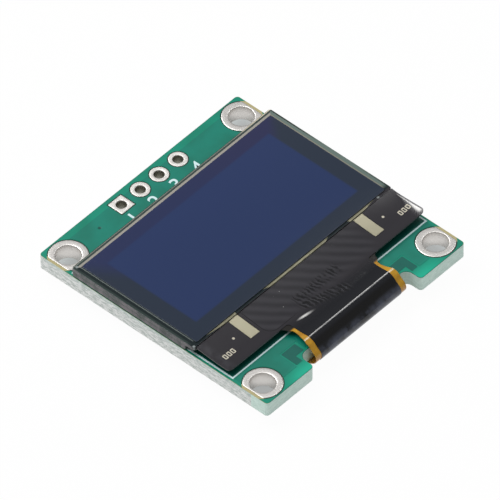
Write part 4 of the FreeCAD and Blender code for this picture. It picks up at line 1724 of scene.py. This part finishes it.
    def build_lands(self) -> None:
        """Turn the eight plated holes: cut flat by the board's edge, square at the first pin, or round."""
        angle = np.linspace(0, FULL_TURN, 96, endpoint=False)
        for index, hole in enumerate(self.mounts, start=1):
            node = f"mount_pad_{index}"
            land = Box.of(node)
            side = land.left - hole.x if hole.x < 0 else land.right - hole.x
            end = land.foot - hole.y if hole.y < 0 else land.head - hole.y
            flat = np.minimum(self.to_flat(np.cos(angle), side), self.to_flat(np.sin(angle), end))
            reach = np.minimum(self.mount_land, flat)
            self.turned_land(hole, reach, node, TIN)
        angle = np.linspace(0, FULL_TURN, 64, endpoint=False)
        square = self.pin_one_half / np.maximum(np.abs(np.cos(angle)), np.abs(np.sin(angle)))
        for index, hole in enumerate(self.pins, start=1):
            reach = square if index == 1 else np.full(len(angle), self.pin_land)
            self.turned_land(hole, reach, f"pin_pad_{index}", PIN_TIN)

    def build_print(self) -> None:
        """Print the panel's outline and a plain number beside each pin hole."""
        top = self.box.face + self.mask_thick + self.copper_rise
        left, right, foot, head = PRINTED_FRAME
        loop = [(0.0, foot), (right, foot), (right, head), (left, head), (left, foot), (-0.001, foot)]
        add_piece("panel_outline", ribbon(loop, self.line, top - 0.017, 0.03, 0.8), INK)
        for index, hole in enumerate(self.pins, start=1):
            self.print_number(str(index), hole.x * self.number_spread, top)

    def print_number(self, text: str, x: float, base: float) -> None:
        """Print a plain number as a thin raised mesh.

        Args:
            text: The number.
            x: X of its middle.
            base: Height of the surface that it is printed on.
        """
        curve = bpy.data.curves.new(f"number_{text}_line", "FONT")
        curve.body = text
        curve.size = self.number_size
        curve.align_x = "CENTER"
        curve.extrude = 0.008
        curve.offset = 0.02
        drawn = new_object(f"number_{text}_line", curve)
        bpy.context.view_layer.update()
        source = bpy.data.meshes.new_from_object(drawn.evaluated_get(bpy.context.evaluated_depsgraph_get()))
        points = rows_of(source.vertices, "co") + np.array([x, self.number_foot, base + 0.007])
        faces = [list(face.vertices) for face in source.polygons]
        bpy.data.objects.remove(drawn)
        bpy.data.curves.remove(curve)
        bpy.data.meshes.remove(source)
        add_piece(f"pin_number_{text}", Mesh(points, faces), INK)

    def build_back_mask(self) -> None:
        """Lay the mask on the back, open over every solder land and over the tail's row of lands."""
        gap = self.mask_gap / 2
        cuts = self.openings(self.mask_gap)
        for land in [*solids_of("solder_lands"), Box.of("tail_lands")]:
            cuts.append(rectangle(land.left - gap, land.right + gap, land.foot - gap, land.head + gap))
        mask = FlatShape([self.outline(self.mask_edge)], cuts)
        add_piece("back_mask", plate(mask, level(self.box.back, -self.mask_thick)), MASK)

    def build(self) -> None:
        """Make and dress the whole board."""
        dress("printed_board", LAMINATE)
        self.build_front_mask()
        self.build_back_mask()
        self.build_lands()
        self.build_print()


@dataclass
class DisplayPanel:
    """The glass panel: two glasses, the seal between them, the tape below and the dark film on top.

    Attributes:
        skin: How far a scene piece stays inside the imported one, so that touching faces don't meet.
        glass_corner: Radius of the glass corners.
        film_corner: Radius of the polarizer's corners.
        edge: Radius of the edges of both.
    """

    skin: float = 0.004
    glass_corner: float = 0.25
    film_corner: float = 0.2
    edge: float = 0.03

    def build_glass(self, node: str, name: str, finish: Finish) -> None:
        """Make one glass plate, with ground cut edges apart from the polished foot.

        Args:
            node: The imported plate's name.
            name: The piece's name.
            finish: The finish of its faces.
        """
        box = Box.of(node)
        box = replace(box, back=box.back + self.skin, face=box.face - self.skin)
        slab = rounded_slab(box, self.glass_corner, self.edge)
        piece = add_piece(name, slab, finish, (node,), crease=50)
        piece.data.materials.append(GROUND_GLASS.material())
        normals = rows_of(piece.data.polygons, "normal")
        edge = (np.abs(normals[:, 2]) < 0.5) & (normals[:, 1] > -0.5)
        piece.data.polygons.foreach_set("material_index", edge.astype(np.int32))

    def build(self) -> None:
        """Make and dress the panel from the tape up."""
        dress("foam_tape", FOAM)
        dress("cell_seal", SEAL)
        dress("active_layer", PIXELS)
        self.build_glass("rear_glass", "sealing_glass", SEALED_BACK)
        self.build_glass("front_glass", "display_glass", PANEL_GLASS)
        slab = rounded_slab(FILM_BOX, self.film_corner, self.edge)
        add_piece("dark_film", slab, POLARIZER, ("polarizer",), crease=50)


@dataclass
class FilmTail:
    """The film tail: amber film and black cover from the wing round the fold, and what is on them.

    Attributes:
        neck_left: X of the film neck's left edge.
        neck_right: X of its right edge.
        cover_side: Cover film inside each edge of the neck.
        cover_corner: Radius between the cover's wing and its neck.
        waist_depth: How far the amber film is drawn in below the wing.
        waist_start: Where that begins, below the wing's foot.
        waist_length: Length over which it is drawn in.
        film_thick: Thickness of the amber film.
        cover_thick: The cover's.
        wing_corner: Radius of the wing's outer corners.
        neck_corner: Radius between the wing and the neck.
        fold_start: Y where the fold begins.
        run_length: Length of the film along the board's back.
        cover_end: Cover film short of the film's end.
        spacing: Distance between the points of the films' surfaces.
        curl: How high the wing's right edge curls up.
        curl_width: Width of the curled edge.
        billow: How high the wing's foot stands up towards its right end.
        billow_x: X where it starts to stand up, and where it is highest.
        die_step: Left, right, foot and head of the low step over the die.
        step_lift: How high that step stands.
        swell: Y where the film starts to rise to its crease.
        crease_lift: How high the crease stands.
        hollow: How far the fold is pressed in below the crease.
        belly: How far it swells out below that.
        glass_lift: How high the wing stands up against the glass.
        lift_length: Length over which it slopes down again.
        lift_x: X where it starts to stand higher towards its right end, and where it is highest.
        lift_more: How much higher it stands there, as a share.
        skin: Gap that keeps touching faces apart.
        dots: X and Y of the two index dots on the wing.
        dot_radius: Their radius.
        labels: X and Y of the middles of the two rows of small frames.
        frame_step: Distance between the frames of a row.
        frame_half: Half their width and half their height.
        frame_wall: Width of their lines.
    """

    neck_left: float = -5.9
    neck_right: float = 6.2
    cover_side: float = 0.7
    cover_corner: float = 0.3
    waist_depth: float = 0.38
    waist_start: float = 0.55
    waist_length: float = 2.2
    film_thick: float = 0.08
    cover_thick: float = 0.04
    wing_corner: float = 0.4
    neck_corner: float = 0.5
    fold_start: float = -11.8
    run_length: float = 5.2
    cover_end: float = 0.5
    spacing: float = 0.15
    curl: float = 0.24
    curl_width: float = 1.3
    billow: float = 0.15
    billow_x: Pair = (-1.0, 10.0)
    die_step: Area = (-4.5, 4.7, -10.4, -8.7)
    step_lift: float = 0.03
    swell: float = -10.2
    crease_lift: float = 0.14
    hollow: float = 0.22
    belly: float = 0.12
    glass_lift: float = 0.25
    lift_length: float = 2.8
    lift_x: Pair = (8.8, 11.5)
    lift_more: float = 0.35
    skin: float = 0.004
    dots: tuple[Pair, ...] = ((-9.89, -6.66), (10.25, -6.68))
    dot_radius: float = 0.13
    labels: tuple[Pair, ...] = ((-11.5, -7.6), (12.2, -7.5))
    frame_step: float = 0.5
    frame_half: Pair = (0.19, 0.28)
    frame_wall: float = 0.11

    def __post_init__(self) -> None:
        """Work out the fold from the film's box."""
        self.film = Box.of("tail_film")
        self.radius = (self.film.face - self.film.back) / 2
        self.centre_z = self.film.back + self.radius
        self.arc_length = math.pi * self.radius
        self.glass_foot = Box.of("front_glass").foot

    def bend(self, base: float, thick: float) -> Place:
        """Return the placing of the flat pattern along the tail's path.

        Above the fold's start Y is kept. Below it the distance walks round a half circle whose outer
        radius is the film's, and then back along the board: the angle is the distance over that radius.
        A bell curve round 45 degrees presses the half circle in, and one round 105 degrees swells it.

        Args:
            base: Height above the film's outer face of the layer's back.
            thick: The layer's thickness, outwards.

        Returns:
            The placing.
        """
        def place(x: Points, y: Points, share: float) -> Points:
            """Put points on the bent layer.

            Args:
                x: X of the points in the flat pattern.
                y: Their Y.
                share: Which part of the layer's thickness they lie at.

            Returns:
                Rows of X, Y and Z.
            """
            out = base + share * thick
            walked = np.clip(self.fold_start - y, 0, None)
            angle = np.clip(walked / self.radius, 0, math.pi)
            beyond = np.clip(walked - self.arc_length, 0, None)
            pressed = self.hollow * np.exp(-((np.degrees(angle) - 45) / 28) ** 2)
            swollen = self.belly * np.exp(-((np.degrees(angle) - 105) / 30) ** 2)
            reach = self.radius + out + swollen - pressed
            placed_y = np.where(walked > 0, self.fold_start - reach * np.sin(angle) + beyond, y)
            placed_z = self.centre_z + reach * np.cos(angle)
            return np.column_stack([x, placed_y, placed_z + self.lift(x, y)])
        return place

    def lift(self, x: Points, y: Points) -> Points:
        """Raise the flat film where it isn't held down.

        The right edge curls up with the square of the way out to it, the wing stands up against the glass,
        most at its right end, and slopes down from it, the wing's foot billows towards its right end, the
        die under the film makes a low step, and the crease is a ridge whose flanks meet in an edge.

        Args:
            x: X of the points in the flat pattern.
            y: Their Y.

        Returns:
            The height that is added at each point.
        """
        top = self.glass_foot
        curled = ramp(x, self.film.right - self.curl_width, self.film.right) ** 2
        edge = curled * self.curl * ramp(y, top, top - 0.6)
        sloped = (1 - ramp(y, top, top - self.lift_length)) ** 1.2
        stood = self.glass_lift * sloped * (1 + self.lift_more * ramp(x, *self.lift_x))
        edge = np.maximum(edge, np.where(y > top - 0.005, 0, stood))
        on_wing = ramp(y, WING_FOOT - 1.2, WING_FOOT)
        billow = ramp(x, *self.billow_x) * ramp(y, top, WING_FOOT) ** 2 * on_wing * self.billow
        left, right, foot, head = self.die_step
        step = ramp(x, left, left + 0.5) * ramp(x, right, right - 0.6)
        step = step * ramp(y, foot, foot + 0.6) * ramp(y, head, head - 0.6)
        before = ramp(y, self.swell, CREASE) ** 2
        after = ramp(y, self.fold_start - 0.1, CREASE)
        return edge + billow + self.step_lift * step + self.crease_lift * np.minimum(before, after)

    def waist(self, side: float, inwards: float) -> Points:
        """Walk down one side of the neck, drawn in by the sine of half a turn times the root of the way.

        Args:
            side: X of the neck's side.
            inwards: How far it is drawn in towards higher X, at most.

        Returns:
            Rows of X and Y.
        """
        down = np.linspace(0, 1, 8)
        y = WING_FOOT - self.waist_start - down * self.waist_length
        return np.column_stack([side + inwards * np.sin(math.pi * np.sqrt(down)), y])

    def outline(self, side_in: float, corner: float, head: float, end: float, waist: float = 0.0) -> Points:
        """Draw the flat pattern: the wing, the neck's inner corners, and the neck to its end.

        Args:
            side_in: How far each edge of the neck is drawn in.
            corner: Radius between the wing and the neck.
            head: Y of the upper edge.
            end: How far the end stops short.
            waist: How far the neck is drawn in below the wing.

        Returns:
            The outline.
        """
        left, right = self.neck_left + side_in, self.neck_right - side_in
        wing, foot = self.wing_corner, WING_FOOT
        last = self.fold_start - self.arc_length - self.run_length + end
        return np.vstack([
            [(self.film.left, head)],
            arc((self.film.left + wing, foot + wing), wing, 180, 270),
            arc((left - corner, foot - corner), corner, 90, 0),
            self.waist(left, waist),
            [(left, last), (right, last)],
            self.waist(right, -waist)[::-1],
            arc((right + corner, foot - corner), corner, 180, 90),
            arc((self.film.right - wing, foot + wing), wing, 270, 360),
            [(self.film.right, head)],
        ])

    def windows(self) -> list[Points]:
        """Draw the two windows in the cover film, round the tinned patches and open towards the glass.

        Returns:
            One loop for each window.
        """
        loops, gap, head = [], 0.05, self.glass_foot + 1
        for node in ("window_patch_left", "window_patch_right"):
            patch = Box.of(node)
            loops.append(rectangle(patch.left - gap, patch.right + gap, patch.foot - gap, head))
        return loops

    def build_film(self) -> None:
        """Make the amber film and the black cover over it."""
        outline = self.outline(0, self.neck_corner, self.film.head, 0, self.waist_depth)
        film = FlatShape([outline], spacing=self.spacing)
        place = self.bend(-self.film_thick, self.film_thick - self.skin)
        add_piece("amber_tail", plate(film, place), AMBER_FILM, ("tail_film",), crease=60)
        outline = self.outline(self.cover_side, self.cover_corner, self.glass_foot - 0.02, self.cover_end)
        cover = FlatShape([outline], self.windows(), spacing=self.spacing)
        place = self.bend(0, self.cover_thick)
        add_piece("cover_tail", plate(cover, place), COVER_FILM, ("tail_cover",), crease=60)

    def build_marks(self) -> None:
        """Add the index dots and small plain frames on the wing."""
        marks = [circle(dot, self.dot_radius, 20) for dot in self.dots]
        holes = []
        width, height = self.frame_half
        for middle, y in self.labels:
            for x in (middle - self.frame_step, middle, middle + self.frame_step):
                marks.append(rectangle(x - width, x + width, y - height, y + height, 0.08, 2))
                w, h = width - self.frame_wall, height - self.frame_wall
                holes.append(rectangle(x - w, x + w, y - h, y + h))
        place = self.bend(self.cover_thick, 0.01)
        add_piece("wing_marks", plate(FlatShape(marks, holes), place), BEIGE_INK)

    def build_patches(self) -> None:
        """Lay the tinned patches on the film, so that they rise with it."""
        for side in ("left", "right"):
            node = f"window_patch_{side}"
            box = Box.of(node)
            head = min(box.head, self.glass_foot - 0.03)
            patch = FlatShape([rectangle(box.left, box.right, box.foot, head)], spacing=self.spacing * 2)
            place = self.bend(0, box.face - box.back)
            add_piece(f"tinned_patch_{side}", plate(patch, place), PATCH, (node,), crease=60)

    def build(self) -> None:
        """Make and dress the tail."""
        self.build_film()
        self.build_marks()
        self.build_patches()
        dress("driver_die", DIE, soften=0.03)
        dress("tail_fingers", SOLDER, soften=0.01)
        dress("tail_lands", SOLDER, soften=0.01)


@dataclass
class BackParts:
    """The soldered parts on the back, which the module rests on.

    Attributes:
        looks: A word of the nodes' names, their finish and the radius of their edges, in order.
    """

    looks: tuple[tuple[str, Finish, float], ...] = (
        ("_ends", CHIP_END, 0.04),
        ("_leg_", LEG, 0.015),
        ("resistor", RESISTOR, 0.02),
        ("capacitor", CAPACITOR, 0.04),
        ("regulator", MOULDING, 0.03),
        ("diode", MOULDING, 0.03),
        ("solder_lands", SOLDER, 0.01),
    )

    def build(self) -> None:
        """Dress each node by the first of the words that its name holds."""
        for node in frame["nodes"]:
            found = [look for look in self.looks if look[0] in node]
            if found:
                _, finish, radius = found[0]
                dress(node, finish, soften=radius)


@dataclass(frozen=True)
class Lamp:
    """A square soft lamp that looks at the module.

    Attributes:
        name: Its name.
        side: The direction in which it stands from the module.
        size: Its side in metres.
        power: Its power in watts.
    """

    name: str
    side: tuple[float, float, float]
    size: float
    power: float


@dataclass
class Studio:
    """The camera at the photograph's angle, the lamps, and the pale floor.

    Attributes:
        azimuth: Where the camera stands, in degrees round the module.
        elevation: Its angle above the horizon in degrees.
        roll: Its turn about its own axis in degrees.
        lens: Focal length in millimetres.
        sensor: Width of the sensor in millimetres.
        distance: From the aimed point, in metres.
        aim: The point at the middle of the picture, in millimetres.
        lamps: The lamps.
        lamp_distance: How far they stand from the module, in metres.
        soft_light: Strength of the light from all round.
        floor_half: Half the floor's side in metres.
        floor_drop: How far the floor lies below the module, in metres.
        glow: How much of the floor's look is plain white.
        dull_shift: Where the painted shadow discs lie, in X and Y from each corner hole's axis.
        dull_reach: Radius of a painted shadow disc, and of its full middle.
        dull_share: How much less white the floor is there.
    """

    azimuth: float = -47.8
    elevation: float = 46.6
    roll: float = -0.26
    lens: float = 1152.0
    sensor: float = 36.0
    distance: float = 1.4427
    aim: tuple[float, float, float] = (-0.195, 0.08, 2.675)
    lamps: tuple[Lamp, ...] = (
        Lamp("key_lamp", (-0.2, 0.45, 0.87), 0.35, 1.6),
        Lamp("crease_lamp", (0.51, 0.08, 0.85), 0.1, 0.22),
        Lamp("curl_lamp", (0.18, 0.66, 0.73), 0.1, 0.3),
    )
    lamp_distance: float = 0.5
    soft_light: float = 0.3
    floor_half: float = 3.0
    floor_drop: float = 0.00002
    glow: float = 0.97
    dull_shift: Pair = (1.36, 1.23)
    dull_reach: Pair = (1.5, 1.0)
    dull_share: float = 0.6

    @staticmethod
    def look_back(holder: bpy.types.Object, side: Vector, roll: float = 0.0) -> None:
        """Turn a camera or a lamp to look against a direction.

        Args:
            holder: The camera or the lamp.
            side: The direction in which it stands.
            roll: Its turn about its own axis in degrees.
        """
        holder.rotation_mode = "QUATERNION"
        turn = Quaternion((0, 0, 1), math.radians(roll))
        holder.rotation_quaternion = (-side).to_track_quat("-Z", "Y") @ turn

    def build_camera(self) -> None:
        """Set the camera at the photograph's angle."""
        data = bpy.data.cameras.new("camera")
        data.lens = self.lens
        data.sensor_width = self.sensor
        camera = new_object("camera", data)
        around, up = math.radians(self.azimuth), math.radians(self.elevation)
        side = Vector((math.sin(around) * math.cos(up), -math.cos(around) * math.cos(up), math.sin(up)))
        camera.location = Vector(self.aim) * MM + side * self.distance
        self.look_back(camera, side, self.roll)
        bpy.context.scene.camera = camera

    def build_lamps(self) -> None:
        """Set up the lamps round the module."""
        for lamp in self.lamps:
            data = bpy.data.lights.new(lamp.name, "AREA")
            data.shape = "SQUARE"
            data.size = lamp.size
            data.energy = lamp.power
            placed = new_object(lamp.name, data)
            side = Vector(lamp.side).normalized()
            placed.location = side * self.lamp_distance
            self.look_back(placed, side)

    def build_floor(self) -> None:
        """Lay a wide pale floor that shows white, keeps the module's shadow, and has discs of painted shadow
        below its holes.

        The white shows to the camera's own rays and to those that metal and glass send on.
        """
        graph = Graph("studio_floor")
        spot = graph.spot()
        paper = graph.noise(spot, 0.05, 2)
        holes = [Hole.of(f"mount_hole_{i}") for i in range(1, 5)]
        across, along = self.dull_shift
        shadow_discs = [spot.round_about((hole.x + across, hole.y + along)).rise(*self.dull_reach) for hole in holes]
        below = shadow_discs[0].most(shadow_discs[1]).most(shadow_discs[2]).most(shadow_discs[3])
        colour = graph.mix(paper, tint(243, 243, 243), tint(247, 247, 247))
        # painted shadow on the floor below the holes
        colour = graph.mix(below, colour, tint(140, 152, 152))
        graph.surface(Base_Color=colour, Roughness=0.8, Specular_IOR_Level=0.0)
        path = graph.node("ShaderNodeLightPath")
        names = ("Is Camera Ray", "Is Glossy Ray", "Is Transmission Ray")
        seen, shiny, through = (Amount(graph, path.outputs[name]) for name in names)
        share = seen.most(shiny).most(through) * (self.glow - below * self.dull_share)
        white = graph.node("ShaderNodeEmission", values={"Color": WHITE, "Strength": 1.0})
        values = {0: share, 1: graph.shader.outputs[0], 2: white.outputs[0]}
        mixed = graph.node("ShaderNodeMixShader", values=values)
        graph.feed(graph.output.inputs["Surface"], mixed.outputs[0])
        data = bpy.data.meshes.new("floor")
        half = self.floor_half
        corners = [(-half, -half, 0), (half, -half, 0), (half, half, 0), (-half, half, 0)]
        data.from_pydata(corners, [], [(0, 1, 2, 3)])
        data.materials.append(graph.material)
        floor = new_object("floor", data)
        floor.location = (0, 0, -self.floor_drop)

    def build_world(self) -> None:
        """Surround the module with soft light, and show white to the camera."""
        world = bpy.data.worlds.new("studio")
        bpy.context.scene.world = world
        tree = Tree(world)
        path = tree.node("ShaderNodeLightPath")
        soft = tree.node("ShaderNodeBackground", values={"Color": WHITE, "Strength": self.soft_light})
        white = tree.node("ShaderNodeBackground", values={"Color": WHITE, "Strength": 1.0})
        values = {0: path.outputs["Is Camera Ray"], 1: soft.outputs[0], 2: white.outputs[0]}
        mixed = tree.node("ShaderNodeMixShader", values=values)
        tree.node("ShaderNodeOutputWorld", values={"Surface": mixed.outputs[0]})

    def build(self) -> None:
        """Set up the camera, the lamps, the world and the floor."""
        bpy.context.scene.view_settings.view_transform = "Standard"
        self.build_camera()
        self.build_world()
        self.build_floor()
        self.build_lamps()


def main() -> None:
    """Build every sub-assembly in order, and report each piece."""
    logging.basicConfig(level=logging.INFO, format="%(name)s: %(message)s")
    for part in (CircuitBoard(), DisplayPanel(), FilmTail(), BackParts(), Studio()):
        part.build()


if __name__ == "__main__":
    main()
